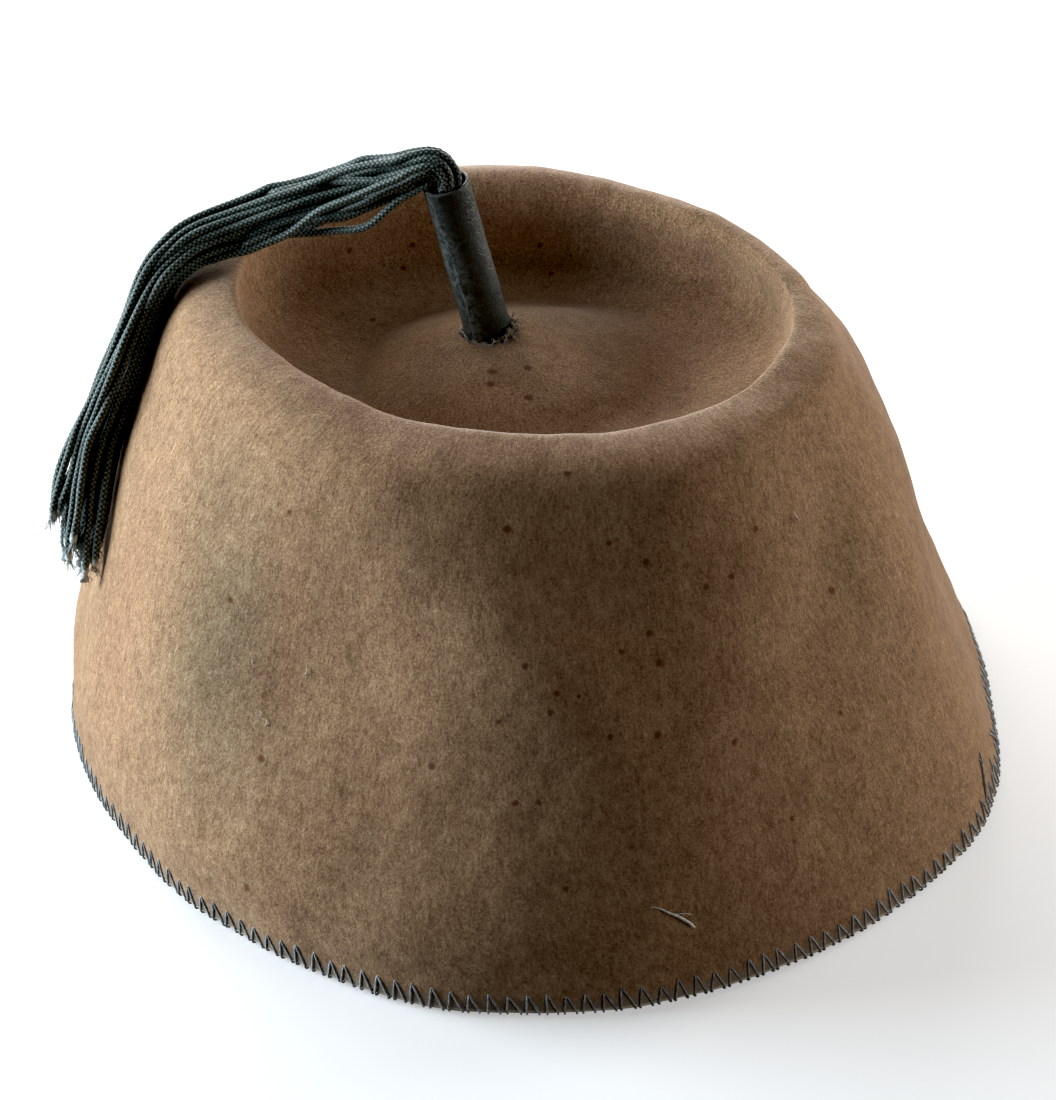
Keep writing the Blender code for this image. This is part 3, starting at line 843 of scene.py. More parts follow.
def stitches_piece(paint):
    rng = np.random.default_rng(5)
    _, run_table = rim_frames()
    total = run_table[-1]
    count = int(round(total / STITCH_PITCH))
    pitch = total / count
    starts = np.arange(count) * pitch + rng.normal(0, 0.16, count)
    half = pitch * 0.25
    legs = (
        -half * 0.95 + rng.normal(0, 0.12, count),
        half * 0.05 + rng.normal(0, 0.14, count),
        half * 1.65 + rng.normal(0, 0.12, count),
        STITCH_HEIGHT + rng.normal(0, 0.28, count),
        STITCH_HEIGHT * 0.95 + rng.normal(0, 0.3, count),
    )
    stations = stitch_path(starts, legs, rng)
    # the stations under the edge come out from outside to inside; the first pass runs the other way
    ordered, block = [], []
    passes = 0
    for fraction, point in stations:
        if fraction is None:
            if block:
                ordered += block[::-1] if passes == 0 else block
                passes, block = passes + 1, []
            ordered.append(point)
        else:
            block.append(point)
    keys = np.stack(ordered, 1)
    fine = np.linspace(0, keys.shape[1] - 1, (keys.shape[1] - 1) * 2 + 1)
    paths = np.stack([spline(path, fine) for path in keys])
    paths[..., 2] = np.maximum(paths[..., 2], THREAD_RADIUS + 0.01)
    radii = np.full(paths.shape[:2], THREAD_RADIUS) * rng.uniform(0.9, 1.12, (count, 1))
    around = unit(np.cross(paths[:, -1] - paths[:, len(fine) // 2], [0, 0, 1.0]))
    middle = paths.mean(1)
    tangent = unit(np.stack([-middle[:, 1], middle[:, 0], 0 * middle[:, 0]], -1))
    points, faces, uv = sweep(paths, radii, 6, tangent[:, None, :])
    return mesh_piece("edge_stitches", points, faces, paint, slot="cord", uv=uv)


# ---- tassel -----------------------------------------------------------------------------------
def cord_paint():
    paint = Paint("braided_cord", Roughness=0.55, Specular_IOR_Level=0.35)
    paint.shader.inputs["Sheen Weight"].default_value = 0.12
    paint.shader.inputs["Sheen Roughness"].default_value = 0.4
    paint.shader.inputs["Sheen Tint"].default_value = flat(0.75, 0.95, 0.95)
    uv = paint.node("UVMap").outputs[0]
    parts = paint.node("SeparateXYZ", {0: uv})
    turn = paint.math("MULTIPLY", parts.outputs[0], math.pi * BRAID_STRANDS)
    rise = paint.math("ADD", paint.math("MULTIPLY", parts.outputs[1], math.pi / BRAID_PITCH), paint.attribute("start"))
    first = paint.math("SINE", paint.math("ADD", turn, rise))
    second = paint.math("SINE", paint.math("SUBTRACT", turn, rise))
    weave = paint.math("ABSOLUTE", paint.math("MULTIPLY", first, second))
    # the braid's crests are painted lighter as a highlight and its grooves painted darker as shade
    crest_highlight_groove_shade = paint.remap(weave, 0.0, 0.9)
    fleck = paint.noise(paint.position(), 1.7, 2.0, 0.6)
    drift = paint.noise(paint.shifted(paint.position(), (3.0, 50.0, 9.0)), 0.12, 1.0)
    tone = paint.math(
        "ADD",
        paint.math("MULTIPLY", crest_highlight_groove_shade, 0.45),
        paint.math("ADD", paint.math("MULTIPLY", fleck, 0.55), paint.math("MULTIPLY", drift, 0.15)),
    )
    colour = paint.ramp(
        tone,
        (
            (0.30, (0.0045, 0.008, 0.007)),
            (0.48, (0.014, 0.025, 0.022)),
            (0.62, (0.042, 0.066, 0.056)),
            (0.76, (0.225, 0.275, 0.235)),
        ),
    )
    tip = paint.attribute("tip")
    colour = paint.mix(paint.remap(paint.math("ADD", tip, paint.math("MULTIPLY", paint.math("SUBTRACT", fleck, 0.5), 0.5)), 0.45, 0.85, smooth=True), colour, flat(0.66, 0.71, 0.68))
    paint.colour(colour)
    paint.bump(weave, 0.6, 0.12)
    return paint.material


def tassel_stations():
    """The tassel's centreline, section axes and half sizes at even steps, from inside the tube to the ends."""
    foot, mouth = np.array(TUBE_FOOT), np.array(TUBE_MOUTH)
    axis = unit(mouth - foot)
    rows = [(*(np.array(TASSEL[0][1:4]) - axis * 6.0), *TASSEL[0][4:])]
    rows += [row[1:] for row in TASSEL]
    dense = spline(rows, np.linspace(0, len(rows) - 1, 2001))
    run = np.concatenate([[0], np.cumsum(np.linalg.norm(np.diff(dense[:, :3], axis=0), axis=1))])
    count = int(run[-1] / 0.8) + 1
    at = np.linspace(0, run[-1], count)
    values = np.stack([np.interp(at, run, dense[:, i]) for i in range(6)], -1)
    roll = np.radians(values[:, 5])
    centres = values[:, :3]
    along = unit(np.gradient(centres, axis=0))
    facing = np.array(TASSEL_FACING)
    wide_side = unit(np.cross(along, facing))
    deep_side = np.cross(along, wide_side)
    a = wide_side * np.cos(roll)[:, None] + deep_side * np.sin(roll)[:, None]
    b = deep_side * np.cos(roll)[:, None] - wide_side * np.sin(roll)[:, None]
    station = np.interp(at, run, np.linspace(-1, len(TASSEL) - 1, 2001))
    return at, station, centres, a, b, values[:, 3], values[:, 4]


def smooth_walk(rng, count, length, knots, size):
    """count seeded smooth wanders over length steps."""
    keys = rng.normal(0, size, (count, knots, 1))
    at = np.linspace(0, knots - 1, length)
    return np.stack([spline(key, at)[:, 0] for key in keys])


# Cords that show on the side of the tassel that faces up and forward, at each station of TRACK_AT. across
# is their place in half widths; near is 1 on the near face of the bundle and 0 in its middle.
TRACK_AT = (0, 2, 4, 5, 6, 7, 9, 11, 13, 15, 16, 17, 18, 19)
# name, last_station, across, near
TRACKS = (
    ("outer", 17.1, (0.2, 0.9, 0.95, 1.0, 0.98, 0.94, 0.95, 0.95, 0.95, 1.08, 1.08, 0.92, 0.8, 0.8), (0.9, 0.9, 0.7, 0.5, 0.6, 0.9, 0.9, 0.9, 0.9, 0.9, 0.9, 0.9, 0.9, 0.9)),
    ("second", 17.3, (0.5, 0.6, 0.74, 0.82, 0.74, 0.64, 0.62, 0.62, 0.62, 0.42, 0.36, 0.50, 0.45, 0.45), (1.0, 1.1, 1.2, 1.3, 1.2, 1.0, 1.0, 1.0, 1.0, 1.0, 1.0, 1.0, 1.0, 1.0)),
    ("third", 17.15, (-0.2, 0.35, 0.52, 0.56, 0.48, 0.36, 0.3, 0.3, 0.3, 0.12, -0.06, 0.5, 0.8, 0.8), (1.0, 1.0, 0.4, 0.1, 0.6, 1.0, 1.0, 1.0, 1.0, 1.0, 1.0, 1.0, 1.0, 1.0)),
    ("upper_diagonal", 18.5, (0.1, 0.1, 0.12, 0.1, 0.16, 0.05, -0.05, -0.06, -0.04, -0.15, -0.3, -0.3, -0.2, -0.1), (1.0, 1.0, 0.3, 0.2, 0.8, 1.1, 1.0, 1.0, 1.0, 1.0, 1.0, 1.0, 1.0, 1.0)),
    ("diagonal", 18.8, (-0.4, -0.1, -0.18, -0.42, -0.5, -0.96, -1.0, -1.0, -1.04, -1.14, -1.16, -1.16, -1.14, -1.25), (1.0, 1.1, 1.25, 1.3, 1.3, 1.1, 0.6, 0.45, 0.35, 0.35, 0.35, 0.35, 0.35, 0.35)),
    ("lower", 19.0, (-0.6, -0.4, -0.45, -0.74, -0.86, -0.7, -0.8, -0.8, -0.74, -0.82, -0.88, -0.90, -0.88, -0.95), (0.7, 0.7, 0.6, 0.4, 0.2, 0.1, 0.6, 0.8, 0.8, 0.7, 0.7, 0.7, 0.7, 0.7)),
    ("inner", 18.0, (-0.7, -0.8, -0.85, -0.95, -0.9, -0.4, -0.42, -0.42, -0.4, -0.43, -0.58, -0.6, -0.45, -0.3), (0.5, 0.5, 0.2, 0.0, -0.1, 0.3, 1.0, 1.05, 1.1, 1.15, 1.15, 1.15, 1.15, 1.15)),
    ("loop", 18.3, (-0.8, -0.85, -1.15, -1.75, -1.55, -0.90, -0.7, -0.62, -0.6, -0.6, -0.55, -0.45, -0.3, -0.2), (0.0, 0.0, 0.0, 0.0, 0.0, 0.0, 0.0, 0.0, 0.0, 0.0, 0.0, 0.0, 0.0, 0.0)),
    ("hugging", 18.2, (-0.5, -0.5, -0.5, -0.6, -0.6, -0.6, -0.8, -0.85, -0.92, -1.02, -1.06, -1.06, -1.04, -1.0), (-0.5, -0.5, -0.5, -0.5, -0.5, -0.5, -0.8, -1.0, -1.3, -2.3, -2.5, -2.3, -2.2, -2.0)),
    ("under_outer", 18.1, (0.0, 0.7, 0.78, 0.8, 0.82, 0.8, 0.8, 0.8, 0.78, 0.3, 0.2, 0.16, 0.1, 0.0), (0.35, 0.35, 0.1, 0.0, 0.1, 0.35, 0.35, 0.35, 0.35, 0.35, 0.35, 0.35, 0.35, 0.35)),
)


def cord_layout(at, station, wide, deep):
    """Where each cord runs in the tassel's section, in mm, pushed apart from the others: the tracks first, then the ones behind."""
    rng = np.random.default_rng(20)
    steps = len(at)
    front = len(TRACKS)
    back = CORDS - front
    index = np.arange(back)
    spread = np.sqrt((index + 0.5) / back)
    swirl = index * 2.39996
    twist = np.radians(np.interp(at, [0, 8, 60, 95, at[-1]], [-40, -30, 75, 95, 110]))
    radius = spread[:, None] * (1 + smooth_walk(rng, back, steps, 6, 0.16))
    turn = swirl[:, None] + twist[None, :] + smooth_walk(rng, back, steps, 7, 0.35)
    over = radius * np.cos(turn) * 0.95
    over = np.where(over > 0, over * np.interp(station, [13, 15, 16.6, 18], [1.0, 0.3, 0.3, 0.8]), over)
    behind = np.stack([over * wide, (0.22 + 0.75 * radius * np.sin(turn)) * deep], -1)
    shown = []
    column = np.interp(station, TRACK_AT, np.arange(len(TRACK_AT)))
    for _, _, *values in TRACKS:
        across, near = spline(np.array(values).T, column).T
        across = across + smooth_walk(rng, 1, steps, 14, 0.05)[0]
        level = -near * np.sqrt(np.clip(1 - across**2, 0.04, 1)) + smooth_walk(rng, 1, steps, 12, 0.09)[0]
        shown.append(np.stack([across * (wide - 0.5), level * (deep - 0.5)], -1))
    target = np.concatenate([np.stack(shown), behind])
    squeeze = np.interp(at, [0, 6, 12, 22], [0.80, 0.80, 0.92, 1.0])
    gap = 2 * CORD_RADIUS * squeeze * 0.98
    limit = np.stack([wide, deep], -1) - (CORD_RADIUS * squeeze * 0.7)[:, None]
    limit[at < 6.4] = TUBE_RADIUS - 0.8 - CORD_RADIUS * 0.8
    # the cords swell out over the tube's rim and hide its mouth
    swell = np.interp(at, [6.2, 7.2, 8.8, 11.0], [0.0, 1.15, 0.4, 0.0])
    limit = limit + swell[:, None]
    target *= 1 + 0.30 * swell[:, None]
    target[:, :, 0] += np.interp(at, [6.0, 7.2, 8.6, 10.5], [0.0, 1.2, 0.8, 0.0])
    target[:, :, 0] -= np.interp(at, [8.0, 10.5, 14.0, 20.0], [0.0, 0.7, 0.5, 0.0])
    inside = at < 7.4
    pull = np.full((CORDS, 1, 1), 0.012)
    pull[:front] = 0.12
    pull[[row[0] for row in TRACKS].index("loop")] = 0.9  # hangs below the others
    weight = np.ones((CORDS, 1, 1))
    weight[:front] = 0.45  # the shown ones give way less
    place = target.copy()
    self = np.arange(CORDS)
    for step in range(420):
        ease = 1.0 if step < 260 else 0.2
        apart = place[:, None] - place[None]
        distance = np.linalg.norm(apart, axis=-1) + 1e-6
        overlap = np.clip(gap - distance, 0, None)
        overlap[self, self] = 0
        place = place + 0.5 * weight * (apart / distance[..., None] * overlap[..., None]).sum(1) * 0.8
        far = np.linalg.norm(place / limit, axis=-1, keepdims=True)
        hold = far > 1
        hold[:front] &= inside[None, :, None]
        place = np.where(hold, place / far, place)
        bent = place.copy()
        bent[:, 1:-1] = 0.5 * place[:, 1:-1] + 0.25 * (place[:, :-2] + place[:, 2:])
        place = bent + ease * pull * (target - bent)
    return place, squeeze


def braid(run, sides, start):
    """The radius factor of a braided cord at each length and side: picks in a staggered lattice."""
    turn = np.linspace(0, 2 * math.pi, sides, endpoint=False)[None, :] * BRAID_STRANDS / 2
    rise = (math.pi / BRAID_PITCH * run)[:, None] + start
    return 0.93 + 0.13 * np.abs(np.sin(turn + rise) * np.sin(turn - rise))


def frayed_tips(ends, directions, radii, rng, paint):
    """Loose fibres fanning out of the cut ends."""
    paths, thick = [], []
    for end, direction, radius in zip(ends, directions, radii):
        for _ in range(11):
            sideways = rng.normal(size=3)
            sideways -= direction * (sideways @ direction)
            sideways = sideways / np.linalg.norm(sideways)
            length = rng.uniform(0.9, 2.6)
            start = end - direction * 0.4 + sideways * radius * rng.uniform(0.1, 0.7)
            t = np.linspace(0, 1, 7)[:, None]
            flare = rng.uniform(0.15, 0.75)
            curl = np.cross(direction, sideways) * rng.normal(0, 0.35)
            fall = np.array([0, 0, -1.0]) * rng.uniform(0.0, 0.5)
            paths.append(start + t * length * direction + t**2 * length * (sideways * flare + curl + fall * 0.4))
            thick.append(np.linspace(0.11, 0.05, 7))
    points, faces, uv = sweep(np.stack(paths), np.stack(thick), 5, np.array(TASSEL_FACING))
    return mesh_piece("tassel_frayed_tips", points, faces, paint, slot="cord", uv=uv)


def tip_blobs(centres, sizes, rng, paint):
    """Pale, lumpy sealed tips."""
    turns, rings = 20, 12
    a = np.linspace(0, 2 * math.pi, turns, endpoint=False)
    h = np.linspace(0.06, math.pi - 0.06, rings)
    ball = np.stack(
        [np.sin(h)[:, None] * np.cos(a), np.sin(h)[:, None] * np.sin(a), np.cos(h)[:, None] + 0 * a], -1
    ).reshape(-1, 3)
    quads, cells = grid_faces(rings, turns)
    points, faces, caps = [], [], []
    for i, (centre, size) in enumerate(zip(centres, sizes)):
        lump = 1 + 0.16 * waves(ball + centre, 40 + i, 10, 0.7, 2.2, 1.0)
        points.append(centre + ball * lump[:, None] * size)
        faces.append(quads + i * len(ball))
        caps += [np.arange(turns)[::-1] + i * len(ball), np.arange(turns) + i * len(ball) + (rings - 1) * turns]
    points = np.concatenate(points)
    faces = [np.concatenate(faces)[:, ::-1], np.stack(caps)[:, ::-1]]
    corner = np.tile(cells[:, :][:, :].reshape(-1, 4, 2)[:, ::-1].reshape(-1, 2) / [turns, rings], (len(sizes), 1))
    uv = np.concatenate([corner, np.zeros((faces[1].size, 2))])
    return mesh_piece("tassel_sealed_tips", points, faces, paint, slot="cord", uv=uv)


def cords_pieces(paint, tip_material, blob_material):
    at, station, centres, a, b, wide, deep = tassel_stations()
    place, squeeze = cord_layout(at, station, wide, deep)
    rng = np.random.default_rng(21)
    reference = np.array(TASSEL_FACING)
    length = at[-1]
    made, ends, directions, radii = [], [], [], []
    for i in range(CORDS):
        q = place[i]
        path = centres + a * q[:, :1] + b * q[:, 1:]
        # each cord ends where it likes
        if i < len(TRACKS):
            stop = np.interp(TRACKS[i][1], station, at)
        else:
            stop = length - rng.uniform(1.0, 15.0)
        keep = at <= stop
        path = resample(path[keep], CORD_STEP)
        run = np.linspace(0, 1, len(path)) * stop
        size = rng.uniform(0.94, 1.05)
        radius = CORD_RADIUS * size * np.interp(run, at, squeeze)
        end = stop - run
        start = rng.uniform(0, math.pi)
        radius = radius[:, None] * braid(run, CORD_SIDES, start)
        radius = radius * np.interp(end, [0, 0.2, 0.6, 1.2], [0.35, 0.75, 0.95, 1.0])[:, None]
        tip = np.interp(end, [0, 1.0, 4.0], [1.0, 0.8, 0.0])
        points, faces, uv = sweep(path[None], radius[None], CORD_SIDES, reference)
        made.append(
            mesh_piece(
                f"tassel_cord_{i + 1:02d}",
                points,
                faces,
                paint,
                slot="cord",
                uv=uv,
                tip=np.repeat(tip, CORD_SIDES),
                start=np.full(len(points), start),
            )
        )
        ends.append(path[-1])
        directions.append(unit(path[-1] - path[-5]))
        radii.append(CORD_RADIUS)
    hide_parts("tassel")
    frayed_tips(ends, directions, radii, rng, tip_material)
    # tips sealed with a pale blob: those of the longest cords and one of the outer ones
    longest = np.argsort([point[2] for point in ends])[:4]
    chosen = [*longest, 0]
    tip_blobs([ends[i] + directions[i] * 0.5 for i in chosen], rng.uniform(0.75, 1.0, len(chosen)), rng, blob_material)
    return made


def fibre_paint():
    paint = Paint("frayed_fibre", Roughness=0.6, Specular_IOR_Level=0.4)
    wear = paint.noise(paint.position(), 1.4, 1.0)
    paint.colour(
        paint.ramp(
            wear,
            ((0.35, (0.120, 0.160, 0.155)), (0.5, (0.340, 0.400, 0.385)), (0.65, (0.700, 0.740, 0.720))),
        )
    )
    return paint.material


def blob_paint():
    paint = Paint("sealed_tip", Roughness=0.4, Specular_IOR_Level=0.5)
    wear = paint.noise(paint.position(), 0.9, 2.0)
    paint.colour(
        paint.ramp(
            wear,
            ((0.35, (0.160, 0.190, 0.180)), (0.55, (0.460, 0.480, 0.460)), (0.70, (0.700, 0.710, 0.690))),
        )
    )
    return paint.material


# ---- leather tube -----------------------------------------------------------------------------
def leather_paint():
    paint = Paint("dark_green_leather", Roughness=0.45, Specular_IOR_Level=0.42)
    here = paint.position()
    grain = paint.noise(here, 3.2, 3.0, 0.65)
    blot = paint.noise(paint.shifted(here, (4.0, 2.0, 8.0)), 0.7, 3.0, 0.7, 0.8)
    tone = paint.math("ADD", paint.math("MULTIPLY", grain, 0.5), paint.math("MULTIPLY", blot, 0.5))
    colour = paint.ramp(
        tone,
        (
            (0.32, (0.003, 0.006, 0.005)),
            (0.50, (0.008, 0.014, 0.012)),
            (0.66, (0.026, 0.036, 0.033)),
        ),
    )
    # paler grey band on the viewer's left side, where the tassel is thrown over: partly rubbed wear, partly a painted
    # highlight of the light from the left
    rubbed = paint.math("MULTIPLY", paint.attribute("rubbed"), paint.remap(tone, 0.44, 0.57, 0.05, 1.0))
    colour = paint.mix(rubbed, colour, flat(0.110, 0.128, 0.120))
    # the cut edge at the mouth is paler and browner
    colour = paint.mix(paint.math("MULTIPLY", paint.attribute("mouth"), 0.7), colour, flat(0.09, 0.085, 0.070))
    paint.colour(colour)
    paint.links.new(paint.remap(tone, 0.36, 0.64, 0.30, 0.58), paint.shader.inputs["Roughness"])
    paint.bump(paint.math("ADD", grain, paint.math("MULTIPLY", blot, 1.6)), 0.8, 0.20)
    return paint.material


def tube_frame():
    """The tube's foot, axis, length, and the directions to the viewer's left and to the front across it."""
    foot, mouth = np.array(TUBE_FOOT), np.array(TUBE_MOUTH)
    axis = unit(mouth - foot)
    front = unit(np.array(TASSEL_FACING) - axis * np.dot(TASSEL_FACING, axis))
    return foot, axis, np.linalg.norm(mouth - foot), np.cross(front, axis), front


def tube_piece():
    foot, axis, length, left, front = tube_frame()
    sides, rows = 120, 96
    turn = np.linspace(0, 2 * math.pi, sides, endpoint=False)  # 0 at the viewer's left, 90 at the front
    heights = np.linspace(-4.4, length - 0.35, rows)
    wall = 0.8
    seam_at = 42.0  # the leather's free edge lies over itself at the front left

    def ring(h, radius):
        return foot + axis * h + radius[:, None] * (np.cos(turn)[:, None] * left + np.sin(turn)[:, None] * front)

    def outside(h):
        seam = (np.degrees(turn) - seam_at - 9 * math.sin(h / 11.0 + 0.6) + 180) % 360 - 180
        radius = TUBE_RADIUS - 0.10 + 0.34 * np.exp(-np.clip(seam, 0, None) / 30.0) * soft_step(-1.5, 1.5, seam)
        radius = radius - 0.10 * np.exp(-(((seam + 5) / 5.0) ** 2))
        radius = radius + 0.18 * math.exp(-(((h - 0.2) / 1.8) ** 2))
        radius = radius + 0.07 * np.sin(3 * turn + h / 4.0) * np.sin(h / 5.0 + 1.0)
        radius = radius + 0.05 * np.sin(turn * 2 + h * 0.55) * np.cos(h * 0.33)
        return radius

    rings = [ring(h, outside(h)) for h in heights]
    mouth_flags = [0.0] * rows
    lip = outside(length - 0.35)
    for radius, h, flag in (
        (lip - 0.03, length - 0.15, 0.3),
        (lip - 0.12, length - 0.02, 1.0),
        (lip - 0.30, length + 0.05, 1.0),
        (0 * lip + TUBE_RADIUS - wall + 0.12, length + 0.02, 1.0),
        (0 * lip + TUBE_RADIUS - wall, length - 0.15, 0.6),
        (0 * lip + TUBE_RADIUS - wall, length - 6.0, 0.0),
        (0 * lip + TUBE_RADIUS - 1.05, length - 12.0, 0.0),
        (0 * lip + TUBE_RADIUS - 1.05, -4.4, 0.0),
    ):
        rings.append(ring(h, radius))
        mouth_flags.append(flag)
    points = np.stack(rings)
    # the band of rubbed wear and painted highlight: narrow at the mouth, widest in the middle, on the left
    up = ((points - foot) @ axis) / length
    middle = np.interp(up, [0, 0.5, 1.0], [46.0, 42.0, 26.0])
    spread = np.interp(up, [0, 0.15, 0.5, 0.85, 1.0], [17.0, 24.0, 26.0, 16.0, 13.0])
    rubbed = np.exp(-0.5 * ((np.degrees(turn)[None, :] - middle + 180) % 360 - 180) ** 2 / spread**2)
    rubbed = rubbed * (np.arange(len(rings)) < rows)[:, None]
    faces, cells = grid_faces(len(rings), sides, closed_rows=True)
    uv = np.column_stack([cells[:, 0] / sides, cells[:, 1] / len(rings)])
    piece = mesh_piece(
        "tube_leather",
        points.reshape(-1, 3),
        faces,
        leather_paint(),
        slot="tube_leather",
        uv=uv,
        mouth=np.repeat(mouth_flags, sides),
        rubbed=rubbed.ravel(),
    )
    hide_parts("stem")
    return piece


# ---- small loose things ---------------------------------------------------------------------
def plain_fibre_paint(name, dark, light):
    paint = Paint(name, Roughness=0.7, Specular_IOR_Level=0.3)
    wear = paint.noise(paint.position(), 1.1, 1.0)
    paint.colour(paint.ramp(wear, ((0.38, dark), (0.62, light))))
    return paint.material


def collar_piece():
    """A ragged collar of fibres where the tube comes out of the felt, thickest at the front right."""
    foot, axis, _, left, front = tube_frame()
    rng = np.random.default_rng(33)
    paths, thick = [], []
    for i in range(150):
        if i < 70:
            turn = math.radians(rng.normal(142, 16))
            reach, rise = rng.uniform(0.2, 2.6), rng.uniform(0.1, 1.7)
        else:
            turn = rng.uniform(0, 2 * math.pi)
            reach, rise = rng.uniform(0.0, 1.0), rng.uniform(0.05, 0.6)
        out = math.cos(turn) * left + math.sin(turn) * front
        along = -math.sin(turn) * left + math.cos(turn) * front
        start = foot + out * (TUBE_RADIUS + 0.15 + rng.uniform(0, 0.3)) + axis * rng.uniform(-0.2, 0.3)
        t = np.linspace(0, 1, 9)[:, None]
        sweep_side = along * rng.normal(0, 1.5)
        loop = np.sin(t * math.pi * rng.uniform(0.7, 1.3)) * rise
        wiggle = np.sin(t * rng.uniform(4, 9) + rng.uniform(0, 6)) * rng.uniform(0.05, 0.22)
        path = start + t * (out * reach + sweep_side) + axis * loop + out * wiggle
        flat_reach = path - np.array([0, 0, 1.0]) * 0
        # stay on or over the felt
        xy = path[:, :2] - np.array(SECTIONS[TOP][5:7])
        angle = np.arctan2(xy[:, 1], xy[:, 0])
        distance = np.linalg.norm(xy, axis=1)
        ladder = np.linspace(TOP - 1.6, TOP, 60)
        for k in range(len(path)):
            line = felt_at(np.full(60, angle[k]), ladder)
            away = np.linalg.norm(line[:, :2] - np.array(SECTIONS[TOP][5:7]), axis=1)
            floor_z = np.interp(distance[k], away[::-1], line[::-1, 2]) + felt_relief(path[k : k + 1])[0]
            path[k, 2] = max(path[k, 2], floor_z + 0.12)
        paths.append(path)
        thick.append(np.linspace(0.11, 0.06, 9) * rng.uniform(0.8, 1.5))
    points, faces, uv = sweep(np.stack(paths), np.stack(thick), 5, np.array([0.3, -0.5, 0.8]))
    paint = plain_fibre_paint("collar_fibre", (0.060, 0.050, 0.032), (0.50, 0.46, 0.36))
    return mesh_piece("tube_collar_fibres", points, faces, paint, slot="felt", uv=uv)


# Stray fibres on the felt, each through points (angle, position, distance off the felt).
# name, width, points
LINT = (
    ("lint_curl", 0.30, ((-77.0, 1.22, 0.0), (-76.0, 1.18, 0.3), (-75.3, 1.13, 0.6), (-74.3, 1.06, 0.8), (-73.5, 0.98, 0.8), (-72.9, 0.90, 0.5))),
    ("lint_wisp", 0.09, ((-75.4, 1.11, 0.4), (-74.6, 1.095, 0.7), (-73.8, 1.085, 0.8), (-73.0, 1.05, 0.6))),
    ("fibre_right", 0.12, ((-44.5, 4.32, 0.1), (-44.7, 4.26, 0.5), (-44.2, 4.18, 0.3))),
    ("fibre_left", 0.10, ((-117.6, 2.92, 0.1), (-117.2, 2.88, 0.4), (-117.6, 2.83, 0.2))),
    ("fleck_low", 0.09, ((-122.7, 2.42, 0.1), (-122.4, 2.39, 0.3), (-122.5, 2.36, 0.1))),
    ("fleck_lower", 0.09, ((-121.6, 2.36, 0.1), (-121.3, 2.33, 0.3), (-121.5, 2.30, 0.1))),
    ("fleck_upper", 0.08, ((-125.6, 2.84, 0.1), (-125.4, 2.82, 0.3), (-125.5, 2.79, 0.1))),
)
# Longer dark stitches where the seam was fastened off. name, width, points
TIE_OFF = (
    ("long_stitch", 0.19, ((-24.6, 0.68, -0.1), (-25.0, 0.62, 0.15), (-25.7, 0.50, 0.2), (-26.5, 0.36, 0.2), (-27.3, 0.25, 0.15), (-27.8, 0.16, -0.1))),
    ("long_stitch_twin", 0.17, ((-25.6, 0.67, -0.1), (-25.5, 0.60, 0.15), (-26.0, 0.49, 0.2), (-26.9, 0.35, 0.2), (-27.8, 0.20, -0.1))),
    ("short_stitch", 0.17, ((-21.8, 0.40, -0.1), (-22.2, 0.33, 0.15), (-22.8, 0.24, 0.15), (-23.6, 0.14, -0.1))),
    ("end_stitch", 0.20, ((-17.2, 0.42, -0.1), (-16.6, 0.36, 0.2), (-15.8, 0.26, 0.25), (-15.0, 0.16, 0.2), (-14.6, 0.10, -0.1))),
    ("end_stitch_twin", 0.18, ((-15.6, 0.38, -0.1), (-15.3, 0.30, 0.2), (-14.6, 0.20, 0.2), (-14.2, 0.12, -0.1))),
)


def surface_strands(name, rows, paint, slot, taper):
    """Strands lying on the felt through the rows' points."""
    all_points, quads, caps, uvs, cap_uvs, start = [], [], [], [], [], 0
    for _, width, stops in rows:
        keys = np.array(stops, float)
        fine = spline(keys, np.linspace(0, len(keys) - 1, (len(keys) - 1) * 6 + 1))
        points, normals, _, _ = felt_skin(np.radians(fine[:, 0]), fine[:, 1])
        path = points + normals * (np.clip(fine[:, 2], -0.2, None) + width * 0.5)[:, None]
        t = np.linspace(0, 1, len(path))
        radius = width * (np.interp(t, [0, 0.15, 0.6, 0.92, 1], [0.15, 0.4, 0.9, 1.0, 0.5]) if taper else np.ones(len(t)))
        made, faces, uv = sweep(path[None], radius[None], 8, normals[None])
        quads.append(faces[0] + start)
        caps.append(faces[1] + start)
        uvs.append(uv[: faces[0].size])
        cap_uvs.append(uv[faces[0].size :])
        all_points.append(made)
        start += len(made)
    return mesh_piece(
        name,
        np.concatenate(all_points),
        [np.concatenate(quads), np.concatenate(caps)],
        paint,
        slot=slot,
        uv=np.concatenate(uvs + cap_uvs),
    )


# ---- making them --------------------------------------------------------------------------------
felt_piece()
thread_material = thread_paint()
stitches_piece(thread_material)
surface_strands("edge_long_stitches", TIE_OFF, thread_material, "cord", taper=False)
surface_strands(
    "stray_fibres", LINT, plain_fibre_paint("pale_lint", (0.50, 0.47, 0.42), (0.80, 0.78, 0.74)), "felt", taper=True
)
cord_material = cord_paint()
cords_pieces(cord_material, fibre_paint(), blob_paint())
tube_piece()
collar_piece()
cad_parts["tassel_core"].material_slots[0].material = cord_material


# ---- floor, lights and camera ---------------------------------------------------------------------
def stage_floor():
    """A plain pale floor; it shines a little by itself, so that it stays near white, and sends no light up under the rim."""
    paint = Paint("pale_floor", Roughness=0.9)
    paint.shader.inputs["Base Color"].default_value = flat(0.80, 0.80, 0.80)
    paint.shader.inputs["Emission Color"].default_value = flat(1.0, 1.0, 1.0)
    paint.shader.inputs["Emission Strength"].default_value = 0.42
    mesh = bpy.data.meshes.new("floor")
    size = 6.0
    mesh.from_pydata(
        [(-size, -size, -0.0002), (size, -size, -0.0002), (size, size, -0.0002), (-size, size, -0.0002)],
        [],
        [(0, 1, 2, 3)],
    )
    mesh.materials.append(paint.material)
    floor = bpy.data.objects.new("floor", mesh)
    bpy.context.scene.collection.objects.link(floor)
    floor.visible_diffuse = False
    floor.visible_glossy = False
    return floor


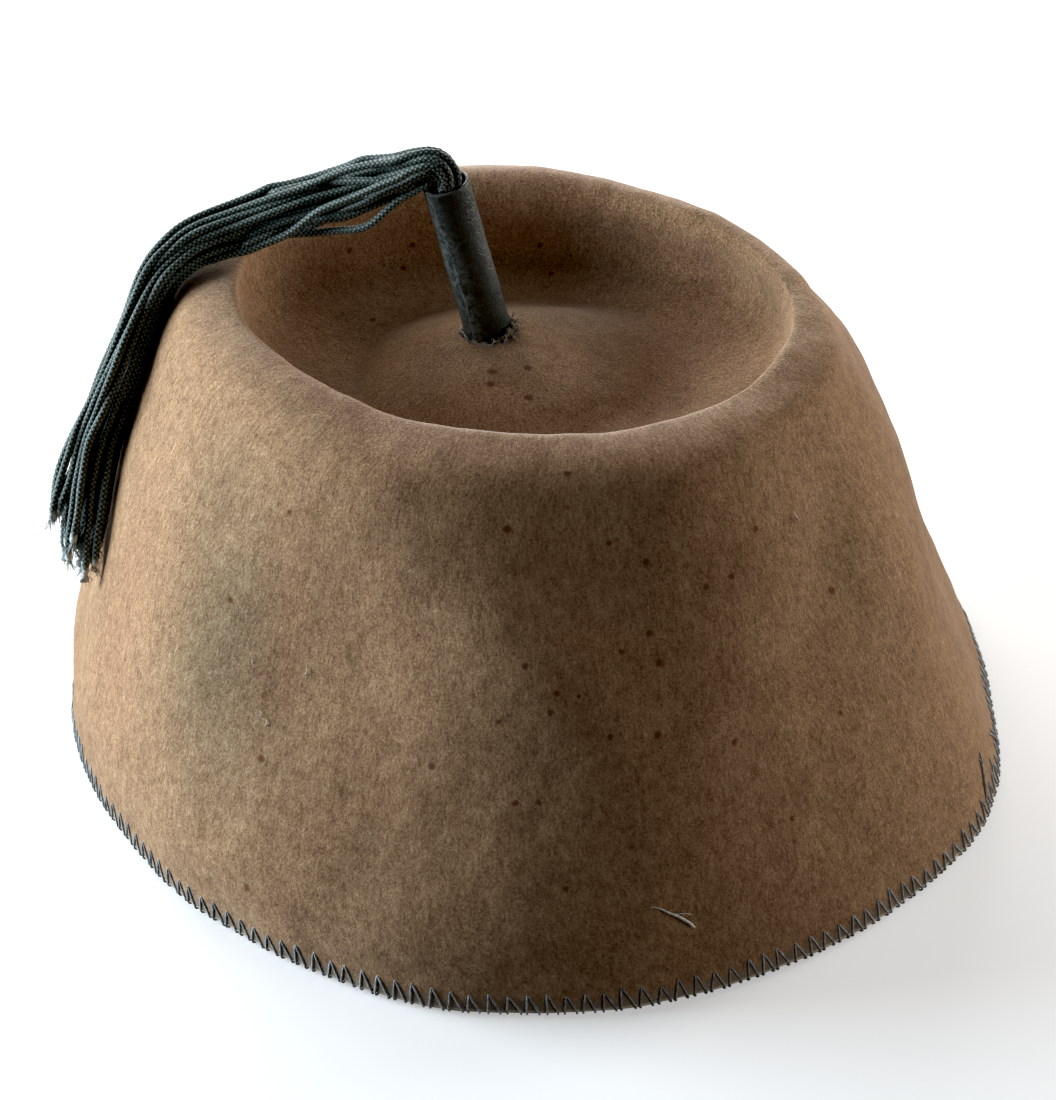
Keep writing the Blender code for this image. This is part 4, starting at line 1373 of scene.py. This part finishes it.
# name, azimuth from +X towards +Y, elevation, distance, width, height, watts, colour
LIGHTS = (
    ("left_low", 172.0, 10.0, 1.2, 0.85, 0.5, 38.5, (0.77, 0.90, 1.0)),
    ("back_left", 120.0, 28.0, 1.2, 0.5, 0.5, 6.0, (0.98, 1.0, 1.0)),
    ("back_low", 90.0, 10.0, 1.2, 0.6, 0.5, 10.6, (1.0, 1.0, 1.0)),
    ("right_back_low", 30.0, 10.0, 1.2, 0.5, 0.5, 10.4, (1.0, 0.97, 0.92)),
    ("right_front_low", 330.0, 10.0, 1.2, 0.5, 0.5, 3.0, (1.0, 0.96, 0.90)),
    ("top", 90.0, 68.0, 1.2, 0.6, 0.6, 1.4, (1.0, 0.98, 0.95)),
)


def area_light(name, azimuth, elevation, distance, width, height, watts, colour):
    data = bpy.data.lights.new(name, "AREA")
    data.shape = "RECTANGLE"
    data.size, data.size_y = width, height
    data.energy = watts
    data.color = colour
    made = bpy.data.objects.new(name, data)
    bpy.context.scene.collection.objects.link(made)
    a, e = math.radians(azimuth), math.radians(elevation)
    aim = Vector((0, 0, 0.05))
    away = Vector((math.cos(a) * math.cos(e), math.sin(a) * math.cos(e), math.sin(e)))
    made.location = aim + away * distance
    made.rotation_mode = "QUATERNION"
    made.rotation_quaternion = away.to_track_quat("Z", "Y")
    return made


stage_floor()
for row in LIGHTS:
    area_light(*row)

world = bpy.data.worlds.new("studio")
world.use_nodes = True
world.node_tree.nodes["Background"].inputs[0].default_value = flat(0.95, 0.97, 1.0)
world.node_tree.nodes["Background"].inputs[1].default_value = 0.03
bpy.context.scene.world = world

camera_data = bpy.data.cameras.new("camera")
camera_data.lens = CAMERA_LENS
camera_data.sensor_width = 36.0
camera_data.clip_start, camera_data.clip_end = 0.01, 20.0
camera = bpy.data.objects.new("camera", camera_data)
bpy.context.scene.collection.objects.link(camera)
e = math.radians(CAMERA_ELEVATION)
place = np.array(CAMERA_AIM) + CAMERA_DISTANCE * np.array([0, -math.cos(e), math.sin(e)])
camera.location = Vector((place + SHIFT) * MM)
camera.rotation_euler = (math.radians(90 - CAMERA_ELEVATION), 0.0, 0.0)
bpy.context.scene.camera = camera

bpy.context.scene.view_settings.view_transform = "Standard"
bpy.context.scene.view_settings.look = "None"
bpy.context.scene.view_settings.use_curve_mapping = True
bpy.context.scene.view_settings.curve_mapping.black_level = (BLACK_LEVEL,) * 3
bpy.context.scene.view_settings.curve_mapping.update()
